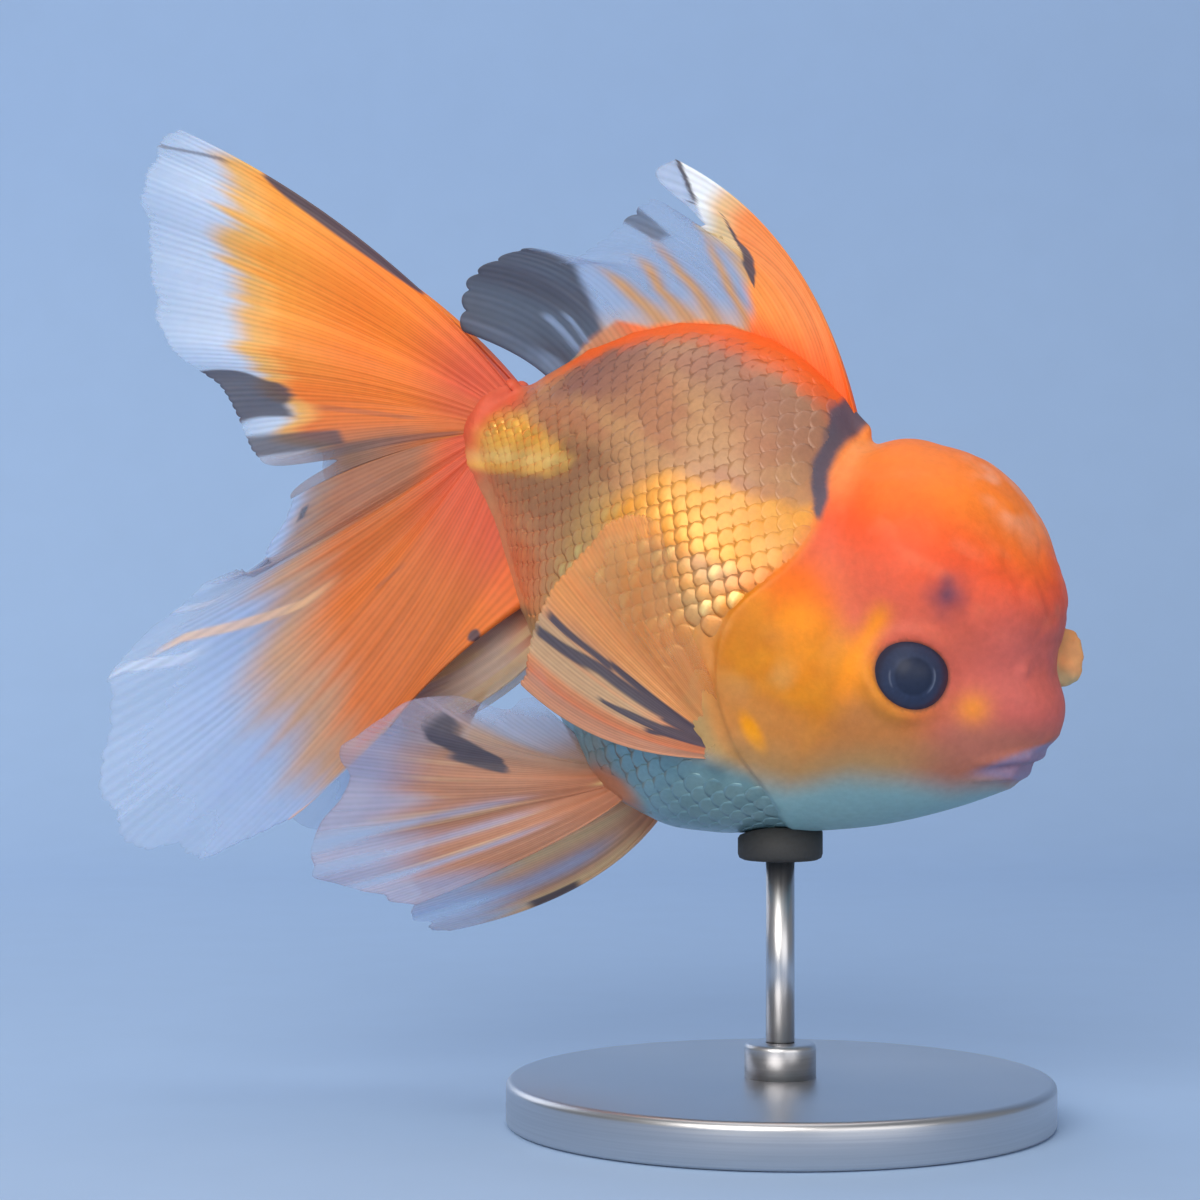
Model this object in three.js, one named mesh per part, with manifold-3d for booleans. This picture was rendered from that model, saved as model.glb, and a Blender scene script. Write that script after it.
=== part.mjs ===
// An oranda goldfish, modelled life size as a still museum piece on a plain display stand.
// Millimetres, +Z up. The origin is the middle of the stand's underside, on the rod's axis, and the fish
// faces +X. The fish itself is shaped straight, in its own frame: x runs from the tail root to the lips,
// y to its left, z up through its back. One group then turns it nose down and a little to its right.
import * as THREE from "three";
import { mergeVertices } from "three/addons/utils/BufferGeometryUtils.js";
import Module from "manifold-3d";

const wasm = await Module();
wasm.setup();

// ---------------------------------------------------------------- pose and stand
const NOSE_DOWN = 29.9;               // degrees that the fish's long axis dips
const TURNED = 20;                    // degrees that it is turned to its right
const FISH_PLACE = [-43.9, 16, 105.6]; // the tail root above the stand
const BASE_RADIUS = 42;
const BASE_HEIGHT = 7;
const BASE_EDGE = 1.2;                // rounding of the base's rim
const COLLAR_RADIUS = 5.5;
const COLLAR_HEIGHT = 5;
const ROD_RADIUS = 2.2;
const ROD_TOP = 40;
const CUP_RADIUS = 6.5;
const CUP_FLOOR = ROD_TOP + 0.3;
const CUP_RIM = 50;
const GAP = 0.3;                      // kept between neighbours

// ---------------------------------------------------------------- the body's stations, along x
const STATION = [-9, 0, 6, 14, 24, 36, 46, 54, 62, 72, 84, 93, 99.5];
const BACK = [3, 9.5, 17.2, 26.4, 32.6, 35.2, 33.2, 28.5, 26.5, 24, 17, 10, 3];
const BELLY = [-2.5, -7, -10.8, -17.6, -26, -34.8, -38.9, -38.4, -35.4, -29, -20.5, -11.8, -4];
const HALF_WIDTH = [1.6, 5, 7.8, 12.5, 18, 22.3, 24, 23.8, 22.4, 19.5, 15.5, 10.5, 4];
const MIDLINE = [0.5, 1, 2, 2, 1, -1, -3, -3.6, -4, -3.5, -3, -1.5, -1];
const TAIL_STUB = -9.5;               // where the fleshy tail root ends
const NOSE_CUT = 98.3;                // where the body ends behind the lips
const BACK_PINCH = 0.1;               // how much narrower the body is at the ridge

// Lobes that swell out of the body: centre, radii, pitch in degrees, and how softly each one joins.
const LOBES = [
  { at: [70.5, 0, 14.8], radii: [20, 19.5, 20.3], pitch: 0, blend: 5 },       // the hood's crown
  { at: [62, 0, 18], radii: [9.5, 14.5, 15.2], pitch: 0, blend: 2.5 },        // the hood's rear lobe
  { at: [81.5, 0, 15.5], radii: [12.6, 14, 12.3], pitch: -20, blend: 5 },     // the hood's brow
  { at: [70, 9, -3], radii: [17, 11, 15], pitch: 0, blend: 5 },               // cheeks
  { at: [91, 0, 6.3], radii: [9, 9.6, 6.6], pitch: 0, blend: 8 },             // cushion over the lips
];

// ---------------------------------------------------------------- lines that part the body, in x and z
const PEDUNCLE_END = 9;
const HEAD_EDGE = [
  [51, 46], [51.5, 34], [54.5, 24], [57.5, 12], [53.8, -1], [56.5, -10.5], [63, -18], [71, -24], [76, -34],
];
const HOOD_EDGE = [
  [56.4, 20], [61, 13], [68, 10.2], [76, 11.2], [83, 12.8], [89, 13.4], [96, 13.2], [104, 13],
];
const GILL_FRONT = [[71, -24], [73.5, -18.5], [70.5, -9], [68, 0], [66.5, 6], [62, 10.5], [57.5, 12]];
const GILL_THICKNESS = 2.4;

// ---------------------------------------------------------------- eyes, lips and nostril flaps
const EYE_RADIUS = 6;
const EYE_AT = [79.3, 14.8, 3.6];
const MOUTH_CENTRE = [88, -8.2];        // in x and z: the lips lie on a tilted fan spread from here
const MOUTH_TILT = 37;                // degrees that the mouth slants up to the front
const UPPER_LIP = { lift: 0.9, spread: 54, radius: 1.4 };
const LOWER_LIP = { lift: -1.95, spread: 46, radius: 1.25 };
const FLAP_RIGHT = { at: [92, -7.6, 12], radii: [2.2, 1.8, 2.8], pitch: 20 };
const FLAP_LEFT = { at: [94.2, 7.6, 14.8], radii: [3.4, 2, 4.8], pitch: 28 };

// ---------------------------------------------------------------- fins
// Each ray of a fin is given by its root, the point half way along it and its tip. A fin is the sheet
// through its rays in their order.
const DORSAL = [
  [[51.9, 0, 29.2], [30.2, 0.4, 46.6], [6.1, 1, 52]],
  [[46, 0, 30.5], [30, 0.6, 43.5], [11.9, 1.2, 43.8]],
  [[38, 0, 32.5], [22.5, 0.8, 41.5], [4.7, 1.5, 44.9]],
  [[30, 0, 33], [16, 0.8, 38.5], [0.6, 1.6, 35.6]],
  [[22, 0, 30.5], [9, 0.6, 34.5], [-3.6, 1.6, 29.4]],
  [[15, 0, 25.5], [2, 0.4, 30], [-10.4, 1.4, 28.2]],
  [[9, 0, 19.5], [-3.5, 0.2, 22.5], [-16.6, 1, 20]],
  [[4.5, 0, 12], [-3.5, 0, 13], [-14, 0.6, 11.8]],
];
const TAIL_UPPER = [
  [[-0.5, 2, 8.5], [-33.6, 9.4, 17.6], [-67.6, 15.8, 18.6]],
  [[-2, 2, 6.8], [-36, 10.6, 11.6], [-69, 15.7, 9.5]],
  [[-3, 2, 5], [-34, 8.6, 4], [-63.5, 14.6, -2]],
  [[-3.2, 2, 3.2], [-29, 9.2, -2], [-54, 13.1, -12.3]],
  [[-3.2, 2, 1.4], [-23, 7.2, -5.4], [-41.7, 11.2, -15.2]],
  [[-3, 2, 0], [-17, 7.2, -9.4], [-31.1, 9.9, -21.8]],
];
const TAIL_LOWER = [
  [[-2.8, 2, -0.8], [-14, 6.6, -12], [-23, 9.4, -24.6]],
  [[-2.4, 2, -1.6], [-12.5, 8.4, -19], [-22.2, 10.9, -37.3]],
  [[-2, 2, -2.4], [-13.5, 8.4, -25], [-29.6, 13.7, -47.5]],
  [[-1.6, 2, -3.2], [-14, 10.6, -31], [-34, 16.9, -61.8]],
  [[-1.2, 2, -4], [-9.5, 9.8, -38], [-27.5, 19.2, -76.8]],
  [[-0.2, 2, -4.8], [-3.5, 11.8, -41], [-15.4, 19.8, -83]],
  [[2.6, 2.2, -6.4], [3.6, 10.4, -41.5], [-5.5, 18.9, -80.3]],
  [[9, 3, -10], [10, 10, -37], [4.8, 15.9, -66.9]],
  [[19.5, 5, -18.5], [14, 9.6, -33], [11.2, 12.1, -47]],
];
const ANAL = [
  [[25, 2, -22], [20, 2.8, -36], [11, 4.5, -48.9]],
  [[22, 2, -20.5], [16, 3.2, -34], [7.6, 4.9, -45.5]],
  [[19, 2, -18], [13, 2.8, -30], [6, 4.1, -40]],
  [[16, 2, -15.5], [10.5, 2.6, -25], [5, 3.6, -33]],
];
const PELVIC_RIGHT = [
  [[50, 8.6, -34], [42.5, 11.4, -49], [30.4, 17.7, -66.3]],
  [[49, 8.4, -34], [36.5, 14, -51.5], [20.2, 20.3, -69.9]],
  [[48, 8.2, -34], [31.5, 14, -50.5], [12.2, 21.7, -68.8]],
  [[47, 8, -34], [29.5, 15.6, -46], [10.3, 20, -56.2]],
  [[46, 7.8, -34], [28.5, 14.4, -41], [8, 20.1, -49]],
  [[44.5, 7.6, -34], [29.5, 13.6, -37], [17, 17.3, -35.5]],
];
const PELVIC_LEFT = [
  [[51, 8.6, -35], [44.1, 13.7, -56.7], [23.6, 22.5, -80.3]],
  [[49.5, 8.6, -34.6], [40.5, 14.4, -55], [17.6, 24, -82]],
  [[48, 8.4, -34.2], [37, 13, -51.5], [14.5, 22.6, -76]],
  [[46.5, 8.2, -34], [33.5, 13.6, -47], [12, 22, -66]],
  [[44.5, 8, -34], [30.5, 12.4, -41.5], [12.5, 19, -53]],
];
const PECTORAL_RIGHT = [
  [[61, 17.4, -21], [47.5, 24.9, -26.3], [32.6, 30.3, -25]],
  [[61.3, 17.5, -20.2], [46.6, 25.6, -21.6], [30.4, 31, -18.9]],
  [[61.6, 17.6, -19.4], [46, 25, -16.4], [29.7, 31.7, -10.8]],
  [[61.9, 17.7, -18.6], [46.4, 26.4, -11], [31.3, 32.4, -2.3]],
  [[62.2, 17.8, -17.8], [47.8, 26.4, -6.6], [34.4, 33.1, 5.3]],
  [[62.5, 17.9, -17], [50, 27, -5], [40, 31.8, 7]],
];
// The far-side fins follow the near ones, swung about their roots and a little shorter.
const LEFT_TAIL = { scale: 0.9, swing: -6 };
const LEFT_PECTORAL = { scale: 1, swing: -8 };

const RIGHT = -1;
const LEFT = 1;

// ---------------------------------------------------------------- materials
function material(colour, roughness, metalness = 0) {
  return new THREE.MeshStandardMaterial({ color: colour, roughness, metalness });
}
const LOOK = {
  flesh: material(0xd98a4e, 0.45),
  hood: material(0xf2693c, 0.5),
  gill: material(0xe0a03c, 0.4),
  lip: material(0x9a8fa6, 0.4),
  flap: material(0xe0a070, 0.5),
  eye: material(0x2e3a54, 0.1),
  fin: material(0xf39250, 0.5),
  metal: material(0xb9bcc0, 0.35, 1),
  pad: material(0x2a2c2f, 0.8),
};

// ---------------------------------------------------------------- small maths
// A smooth curve through the stations that never overshoots them.
function stationCurve(values) {
  const count = STATION.length;
  const width = [];
  const slope = [];
  for (let i = 0; i < count - 1; i++) {
    width.push(STATION[i + 1] - STATION[i]);
    slope.push((values[i + 1] - values[i]) / width[i]);
  }
  const tangent = [slope[0]];
  for (let i = 1; i < count - 1; i++) {
    const before = 2 * width[i] + width[i - 1];
    const after = width[i] + 2 * width[i - 1];
    const turns = slope[i - 1] * slope[i] <= 0;
    tangent.push(turns ? 0 : (before + after) / (before / slope[i - 1] + after / slope[i]));
  }
  tangent.push(slope[count - 2]);
  return (at) => {
    const x = THREE.MathUtils.clamp(at, STATION[0], STATION[count - 1]);
    let i = 0;
    while (i < count - 2 && x >= STATION[i + 1]) i++;
    const h = width[i];
    const t = (x - STATION[i]) / h;
    return (1 + 2 * t) * (1 - t) ** 2 * values[i] + t * (1 - t) ** 2 * h * tangent[i]
      + t * t * (3 - 2 * t) * values[i + 1] + t * t * (t - 1) * h * tangent[i + 1];
  };
}
const back = stationCurve(BACK);
const belly = stationCurve(BELLY);
const halfWidth = stationCurve(HALF_WIDTH);
const midline = stationCurve(MIDLINE);

function smoothUnion(a, b, k) {
  const h = Math.max(k - Math.abs(a - b), 0) / k;
  return Math.min(a, b) - h * h * h * k / 6;
}

// About the distance from a point to an ellipsoid, negative inside it.
function ellipsoidDistance(dx, dy, dz, rx, ry, rz) {
  const near = Math.hypot(dx / rx, dy / ry, dz / rz);
  const steep = Math.hypot(dx / rx ** 2, dy / ry ** 2, dz / rz ** 2);
  return near * (near - 1) / Math.max(steep, 1e-6);
}

function loftDistance(x, y, z) {
  const middle = midline(x);
  const rise = z > middle ? back(x) - middle : middle - belly(x);
  const share = (z - middle) / rise;
  const half = halfWidth(x) * (1 - BACK_PINCH * THREE.MathUtils.clamp(share, 0, 1) ** 2);
  const near = Math.hypot(y / half, share);
  const steep = Math.hypot(y / half ** 2, (z - middle) / rise ** 2);
  const side = near * (near - 1) / Math.max(steep, 1e-6);
  return Math.max(side, x - NOSE_CUT, TAIL_STUB - x);
}

function lobeDistance(lobe, x, y, z) {
  const turn = THREE.MathUtils.degToRad(lobe.pitch);
  const dx = x - lobe.at[0];
  const dz = z - lobe.at[2];
  const along = dx * Math.cos(turn) + dz * Math.sin(turn);
  const up = dz * Math.cos(turn) - dx * Math.sin(turn);
  return ellipsoidDistance(along, y - lobe.at[1], up, ...lobe.radii);
}

// About the distance from a point to the fish's body, the same on both sides.
function bodyDistance(x, y, z) {
  const side = Math.abs(y);
  let distance = loftDistance(x, side, z);
  for (const lobe of LOBES) distance = smoothUnion(distance, lobeDistance(lobe, x, side, z), lobe.blend);
  return distance;
}

// ---------------------------------------------------------------- meshes and solids
function meshGeometry(positions, faces) {
  const geometry = new THREE.BufferGeometry();
  geometry.setAttribute("position", new THREE.Float32BufferAttribute(positions, 3));
  geometry.setIndex(faces);
  return geometry;
}

function toSolid(geometry) {
  const bare = geometry.clone();
  bare.deleteAttribute("normal");
  bare.deleteAttribute("uv");
  const merged = mergeVertices(bare, 1e-4);
  const vertProperties = new Float32Array(merged.attributes.position.array);
  const triVerts = new Uint32Array(merged.index.array);
  return new wasm.Manifold(new wasm.Mesh({ numProp: 3, vertProperties, triVerts }));
}

function toGeometry(solid) {
  const mesh = solid.getMesh();
  return meshGeometry(Array.from(mesh.vertProperties), Array.from(mesh.triVerts));
}

function piece(name, solidOrGeometry, look) {
  const geometry = solidOrGeometry.getMesh ? toGeometry(solidOrGeometry) : solidOrGeometry;
  const mesh = new THREE.Mesh(geometry, look);
  mesh.name = name;
  return mesh;
}

// ---------------------------------------------------------------- the body's surface
const AROUND = 26;
const CORE_START = 0;                 // rays spread from a line inside the body, between these two ends
const CORE_END = 74;
const CORE_RINGS = 20;
const TAIL_RINGS = 3;
const NOSE_RINGS = 12;

// Walks out from inside the body until it meets the surface at the given level.
function surfaceRadius(centre, direction, level) {
  const distance = (r) => bodyDistance(...centre.map((c, i) => c + r * direction[i])) - level;
  let outside = 0.5;
  while (distance(outside) < 0) outside += 0.5;
  let inside = outside - 0.5;
  for (let i = 0; i < 24; i++) {
    const half = (inside + outside) / 2;
    if (distance(half) < 0) inside = half;
    else outside = half;
  }
  return (inside + outside) / 2;
}

function coreHeight(x) {
  return midline(x) * 0.6;
}

// Each ring: the point its rays leave from, and how far they lean to the nose (+) or the tail (-).
function bodyRings() {
  const rings = [];
  for (let i = 1; i <= TAIL_RINGS; i++) {
    rings.push({ x: CORE_START, lean: -90 * (1 - i / (TAIL_RINGS + 1)) });
  }
  for (let i = 0; i <= CORE_RINGS; i++) {
    rings.push({ x: CORE_START + (CORE_END - CORE_START) * i / CORE_RINGS, lean: 0 });
  }
  for (let i = 1; i < NOSE_RINGS; i++) rings.push({ x: CORE_END, lean: 90 * i / NOSE_RINGS });
  return rings;
}

function bodySolid(level) {
  const positions = [];
  const faces = [];
  const shoot = (x, lean, angle) => {
    const centre = [x, 0, coreHeight(x)];
    const out = Math.cos(lean);
    const direction = [Math.sin(lean), out * Math.cos(angle), out * Math.sin(angle)];
    const radius = surfaceRadius(centre, direction, level);
    positions.push(...centre.map((c, i) => c + radius * direction[i]));
  };
  const rings = bodyRings();
  for (const ring of rings) {
    const lean = THREE.MathUtils.degToRad(ring.lean);
    for (let j = 0; j < AROUND; j++) shoot(ring.x, lean, 2 * Math.PI * (j + 0.5) / AROUND);
  }
  const tailPole = positions.length / 3;
  shoot(CORE_START, -Math.PI / 2, 0);
  const nosePole = tailPole + 1;
  shoot(CORE_END, Math.PI / 2, 0);
  for (let j = 0; j < AROUND; j++) {
    const next = (j + 1) % AROUND;
    for (let i = 0; i < rings.length - 1; i++) {
      const [a, b] = [i * AROUND + j, i * AROUND + next];
      const [c, d] = [a + AROUND, b + AROUND];
      faces.push(a, b, c, b, d, c);
    }
    const last = (rings.length - 1) * AROUND;
    faces.push(tailPole, next, j, nosePole, last + j, last + next);
  }
  return toSolid(meshGeometry(positions, faces));
}

// ---------------------------------------------------------------- cutters
const FAR = 60;                       // past the body above, below and on both sides
const AHEAD = 120;                    // past the lips

// A wall that stands across the fish, over an outline in x and z.
function crossCutter(outline) {
  const shape = new THREE.Shape(outline.map(([x, z]) => new THREE.Vector2(x, z)));
  const geometry = new THREE.ExtrudeGeometry(shape, { depth: 2 * FAR, bevelEnabled: false });
  geometry.rotateX(Math.PI / 2);
  geometry.translate(0, FAR, 0);
  return toSolid(geometry);
}

// Everything behind the plane at x.
function rearCutter(x) {
  return crossCutter([[-FAR, -FAR], [x, -FAR], [x, FAR], [-FAR, FAR]]);
}

// Everything on one side of the fish, short of the middle by half a gap.
function sideCutter(side) {
  return toSolid(new THREE.BoxGeometry(2 * AHEAD, FAR, 2 * FAR).translate(0, side * (FAR + GAP) / 2, 0));
}

// A smooth line through points, moved sideways by an amount (to its left when positive).
function smoothLine(points, steps, aside = 0) {
  const curve = new THREE.SplineCurve(points.map(([x, z]) => new THREE.Vector2(x, z)));
  const line = [];
  for (let i = 0; i <= steps; i++) {
    const at = curve.getPoint(i / steps);
    const way = curve.getTangent(i / steps);
    line.push([at.x - way.y * aside, at.y + way.x * aside]);
  }
  return line;
}

function headCutter(aside) {
  const edge = smoothLine(HEAD_EDGE, 12, aside);
  return crossCutter([...edge, [AHEAD, -FAR], [AHEAD, FAR], [edge[0][0], FAR]]);
}

function hoodCutter(aside) {
  const edge = smoothLine(HOOD_EDGE, 10, aside);
  return crossCutter([[0, edge[0][1] + 4], ...edge, [AHEAD, FAR], [0, FAR]]);
}

function gillCutter(aside) {
  const front = smoothLine(GILL_FRONT, 9, -aside);
  return crossCutter([[0, GILL_FRONT.at(-1)[1]], [0, GILL_FRONT[0][1]], ...front]);
}

function ellipsoidSolid(lobe, grow = 0) {
  const geometry = new THREE.IcosahedronGeometry(1, 2);
  geometry.scale(...lobe.radii.map((r) => r + grow));
  geometry.rotateY(-THREE.MathUtils.degToRad(lobe.pitch));
  geometry.translate(...lobe.at);
  return toSolid(geometry);
}

// ---------------------------------------------------------------- eyes
function eyeSolid(side, grow = 0) {
  const geometry = new THREE.SphereGeometry(EYE_RADIUS + grow, 16, 9);
  geometry.translate(EYE_AT[0], side * EYE_AT[1], EYE_AT[2]);
  return toSolid(geometry);
}

// ---------------------------------------------------------------- lips
// A bow round the mouth that follows the snout's surface, thickest in the middle.
function lipSolid(lip, grow = 0) {
  const along = 12;
  const sides = 8;
  const tilt = THREE.MathUtils.degToRad(MOUTH_TILT);
  const path = [];
  for (let i = 0; i <= along; i++) {
    const turn = THREE.MathUtils.degToRad(lip.spread * (-1 + 2 * i / along));
    const centre = [MOUTH_CENTRE[0], 0, MOUTH_CENTRE[1] + lip.lift];
    const direction = [Math.cos(turn) * Math.cos(tilt), Math.sin(turn), Math.cos(turn) * Math.sin(tilt)];
    const radius = surfaceRadius(centre, direction, -0.1);
    path.push(new THREE.Vector3(...centre.map((c, k) => c + radius * direction[k])));
  }
  const up = new THREE.Vector3(-Math.sin(tilt), 0, Math.cos(tilt));
  const positions = [];
  const faces = [];
  path.forEach((at, i) => {
    const share = -1 + 2 * i / along;
    const radius = lip.radius * Math.sqrt(1.15 - share * share) + grow;
    const way = path[Math.min(i + 1, along)].clone().sub(path[Math.max(i - 1, 0)]).normalize();
    const out = way.clone().cross(up).normalize();
    for (let j = 0; j < sides; j++) {
      const angle = 2 * Math.PI * j / sides;
      const point = at.clone().addScaledVector(out, radius * Math.cos(angle));
      positions.push(...point.addScaledVector(up, radius * Math.sin(angle)).toArray());
    }
  });
  for (let j = 0; j < sides; j++) {
    const next = (j + 1) % sides;
    for (let i = 0; i < along; i++) {
      const [a, b] = [i * sides + j, i * sides + next];
      faces.push(a, a + sides, b, b, a + sides, b + sides);
    }
    if (j > 1) faces.push(0, j - 1, j);
    const last = along * sides;
    if (j > 1) faces.push(last, last + j, last + j - 1);
  }
  return toSolid(meshGeometry(positions, faces));
}

// ---------------------------------------------------------------- fins
function curveThrough(rays, which, side) {
  const points = rays.map((ray) => new THREE.Vector3(ray[which][0], side * ray[which][1], ray[which][2]));
  return new THREE.CatmullRomCurve3(points, false, "catmullrom", 0.5);
}

// A fin as a closed sheet, thick at its root and thin at its margin.
function finSolid(rays, side, { across, along, root, margin }) {
  const roots = curveThrough(rays, 0, side);
  const middles = curveThrough(rays, 1, side);
  const tips = curveThrough(rays, 2, side);
  const at = (s, t) => {
    const start = roots.getPoint(s);
    const end = tips.getPoint(s);
    const bend = middles.getPoint(s).multiplyScalar(2);
    bend.addScaledVector(start, -0.5).addScaledVector(end, -0.5);
    const point = start.multiplyScalar((1 - t) ** 2).addScaledVector(bend, 2 * t * (1 - t));
    return point.addScaledVector(end, t * t);
  };
  const positions = [];
  for (const face of [1, -1]) {
    for (let i = 0; i <= across; i++) {
      for (let j = 0; j <= along; j++) {
        const s = i / across;
        const t = j / along;
        const nudge = 0.01;
        const acrossFin = at(Math.min(s + nudge, 1), t).sub(at(Math.max(s - nudge, 0), t));
        const alongRay = at(s, Math.min(t + nudge, 1)).sub(at(s, Math.max(t - nudge, 0)));
        const normal = acrossFin.cross(alongRay).normalize();
        const thickness = margin + (root - margin) * (1 - t) ** 2;
        positions.push(...at(s, t).addScaledVector(normal, face * thickness / 2).toArray());
      }
    }
  }
  const row = along + 1;
  const sheet = row * (across + 1);
  const faces = [];
  for (let i = 0; i < across; i++) {
    for (let j = 0; j < along; j++) {
      const [a, b, c, d] = [i * row + j, i * row + j + 1, (i + 1) * row + j, (i + 1) * row + j + 1];
      faces.push(a, c, b, b, c, d);
      faces.push(sheet + a, sheet + b, sheet + c, sheet + b, sheet + d, sheet + c);
    }
  }
  const wall = (a, b) => faces.push(a, b, sheet + a, b, sheet + b, sheet + a);
  for (let j = 0; j < along; j++) {
    wall(j, j + 1);
    wall(across * row + j + 1, across * row + j);
  }
  for (let i = 0; i < across; i++) {
    wall((i + 1) * row, i * row);
    wall(i * row + along, (i + 1) * row + along);
  }
  return toSolid(meshGeometry(positions, faces));
}

// The same fin for the other side, shorter and swung down about its first root.
function swungRays(rays, { scale, swing }) {
  const turn = THREE.MathUtils.degToRad(swing);
  const [cos, sin] = [Math.cos(turn), Math.sin(turn)];
  return rays.map(([root, middle, tip]) => [root, ...[middle, tip].map(([x, y, z]) => {
    const dx = (x - root[0]) * scale;
    const dz = (z - root[2]) * scale;
    return [root[0] + dx * cos + dz * sin, root[1] + (y - root[1]) * scale, root[2] - dx * sin + dz * cos];
  })]);
}

const FIN_SIZE = {
  dorsal: { across: 12, along: 5, root: 1.8, margin: 0.7 },
  tail: { across: 9, along: 5, root: 2.2, margin: 0.7 },
  anal: { across: 4, along: 4, root: 1.3, margin: 0.7 },
  pelvic: { across: 7, along: 5, root: 1.8, margin: 0.7 },
  pectoral: { across: 7, along: 5, root: 1.6, margin: 0.7 },
};

// ---------------------------------------------------------------- the fish
const body = bodySolid(0);
const clearOfBody = bodySolid(GAP);
const fish = new THREE.Group();
const HALVES = [["right", RIGHT], ["left", LEFT]];

function addPeduncleAndTrunk() {
  const trunk = body.subtract(rearCutter(PEDUNCLE_END + GAP)).subtract(headCutter(-GAP));
  fish.add(piece("caudal_peduncle", body.intersect(rearCutter(PEDUNCLE_END)), LOOK.flesh));
  fish.add(piece("trunk", trunk, LOOK.flesh));
}

function addHead() {
  let head = body.intersect(headCutter(0));
  const hood = head.intersect(hoodCutter(0));
  head = head.subtract(hoodCutter(-GAP));
  const inner = bodySolid(-GILL_THICKNESS);
  const deeper = bodySolid(-GILL_THICKNESS - GAP);
  const plates = head.intersect(gillCutter(0)).subtract(inner);
  head = head.subtract(gillCutter(GAP).subtract(deeper));
  for (const [name, side] of HALVES) {
    fish.add(piece(`gill_cover_${name}`, plates.intersect(sideCutter(side)), LOOK.gill));
    fish.add(piece(`eye_${name}`, eyeSolid(side), LOOK.eye));
    head = head.subtract(eyeSolid(side, GAP));
  }
  for (const [name, lip] of [["upper_lip", UPPER_LIP], ["lower_lip", LOWER_LIP]]) {
    fish.add(piece(name, lipSolid(lip), LOOK.lip));
    head = head.subtract(lipSolid(lip, GAP));
  }
  for (const [name, flap] of [["right", FLAP_RIGHT], ["left", FLAP_LEFT]]) {
    fish.add(piece(`nostril_flap_${name}`, ellipsoidSolid(flap).subtract(clearOfBody), LOOK.flap));
  }
  fish.add(piece("head", head, LOOK.flesh));
  fish.add(piece("hood", hood, LOOK.hood));
}

function addFins() {
  const add = (name, rays, side, size) => {
    fish.add(piece(name, finSolid(rays, side, size).subtract(clearOfBody), LOOK.fin));
  };
  add("dorsal_fin", DORSAL, RIGHT, FIN_SIZE.dorsal);
  add("tail_upper_right", TAIL_UPPER, RIGHT, FIN_SIZE.tail);
  add("tail_lower_right", TAIL_LOWER, RIGHT, FIN_SIZE.tail);
  add("tail_upper_left", swungRays(TAIL_UPPER, LEFT_TAIL), LEFT, FIN_SIZE.tail);
  add("tail_lower_left", swungRays(TAIL_LOWER, LEFT_TAIL), LEFT, FIN_SIZE.tail);
  add("anal_fin_right", ANAL, RIGHT, FIN_SIZE.anal);
  add("anal_fin_left", ANAL, LEFT, FIN_SIZE.anal);
  add("pelvic_fin_right", PELVIC_RIGHT, RIGHT, FIN_SIZE.pelvic);
  add("pelvic_fin_left", PELVIC_LEFT, LEFT, FIN_SIZE.pelvic);
  add("pectoral_fin_right", PECTORAL_RIGHT, RIGHT, FIN_SIZE.pectoral);
  add("pectoral_fin_left", swungRays(PECTORAL_RIGHT, LEFT_PECTORAL), LEFT, FIN_SIZE.pectoral);
}

addPeduncleAndTrunk();
addHead();
addFins();

const dip = THREE.MathUtils.degToRad(NOSE_DOWN);
const turned = THREE.MathUtils.degToRad(TURNED);
fish.rotation.set(0, dip, -turned, "ZYX");
fish.position.set(...FISH_PLACE);
fish.updateMatrixWorld(true);

// ---------------------------------------------------------------- the stand
function upright(radius, height, bottom, sides) {
  const geometry = new THREE.CylinderGeometry(radius, radius, height, sides);
  geometry.rotateX(Math.PI / 2);
  geometry.translate(0, 0, bottom + height / 2);
  return geometry;
}

function baseGeometry() {
  const profile = [[0, 0], [BASE_RADIUS - BASE_EDGE, 0], [BASE_RADIUS, BASE_EDGE],
    [BASE_RADIUS, BASE_HEIGHT - BASE_EDGE], [BASE_RADIUS - BASE_EDGE, BASE_HEIGHT], [0, BASE_HEIGHT]];
  const geometry = new THREE.LatheGeometry(profile.map(([x, y]) => new THREE.Vector2(x, y)), 32);
  geometry.rotateX(Math.PI / 2);
  return geometry;
}

const stand = new THREE.Group();
const fishInStand = toSolid(toGeometry(clearOfBody).applyMatrix4(fish.matrixWorld));
const rodBottom = BASE_HEIGHT + GAP;
const collar = toSolid(upright(COLLAR_RADIUS, COLLAR_HEIGHT, rodBottom, 16));
const collarBore = toSolid(upright(ROD_RADIUS + GAP, FAR, 0, 16));
const cup = toSolid(upright(CUP_RADIUS, CUP_RIM - CUP_FLOOR, CUP_FLOOR, 24));
stand.add(piece("stand_base", toSolid(baseGeometry()), LOOK.metal));
stand.add(piece("stand_collar", collar.subtract(collarBore), LOOK.metal));
stand.add(piece("stand_rod", upright(ROD_RADIUS, ROD_TOP - rodBottom, rodBottom, 16), LOOK.metal));
stand.add(piece("stand_cup", cup.subtract(fishInStand), LOOK.pad));

const model = new THREE.Group();
model.add(fish, stand);

export default model;
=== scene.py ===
"""Looks of a life-size oranda goldfish on a plain display stand.

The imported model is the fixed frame. The fish is shaped in its own frame, in millimetres: x runs from the
tail root (0) to the lips (100), y to its left, z up through its back. to_row() turns such points nose down
and a little to the fish's right, and gives them in metres in the model's own frame.
"""
import math

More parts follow.
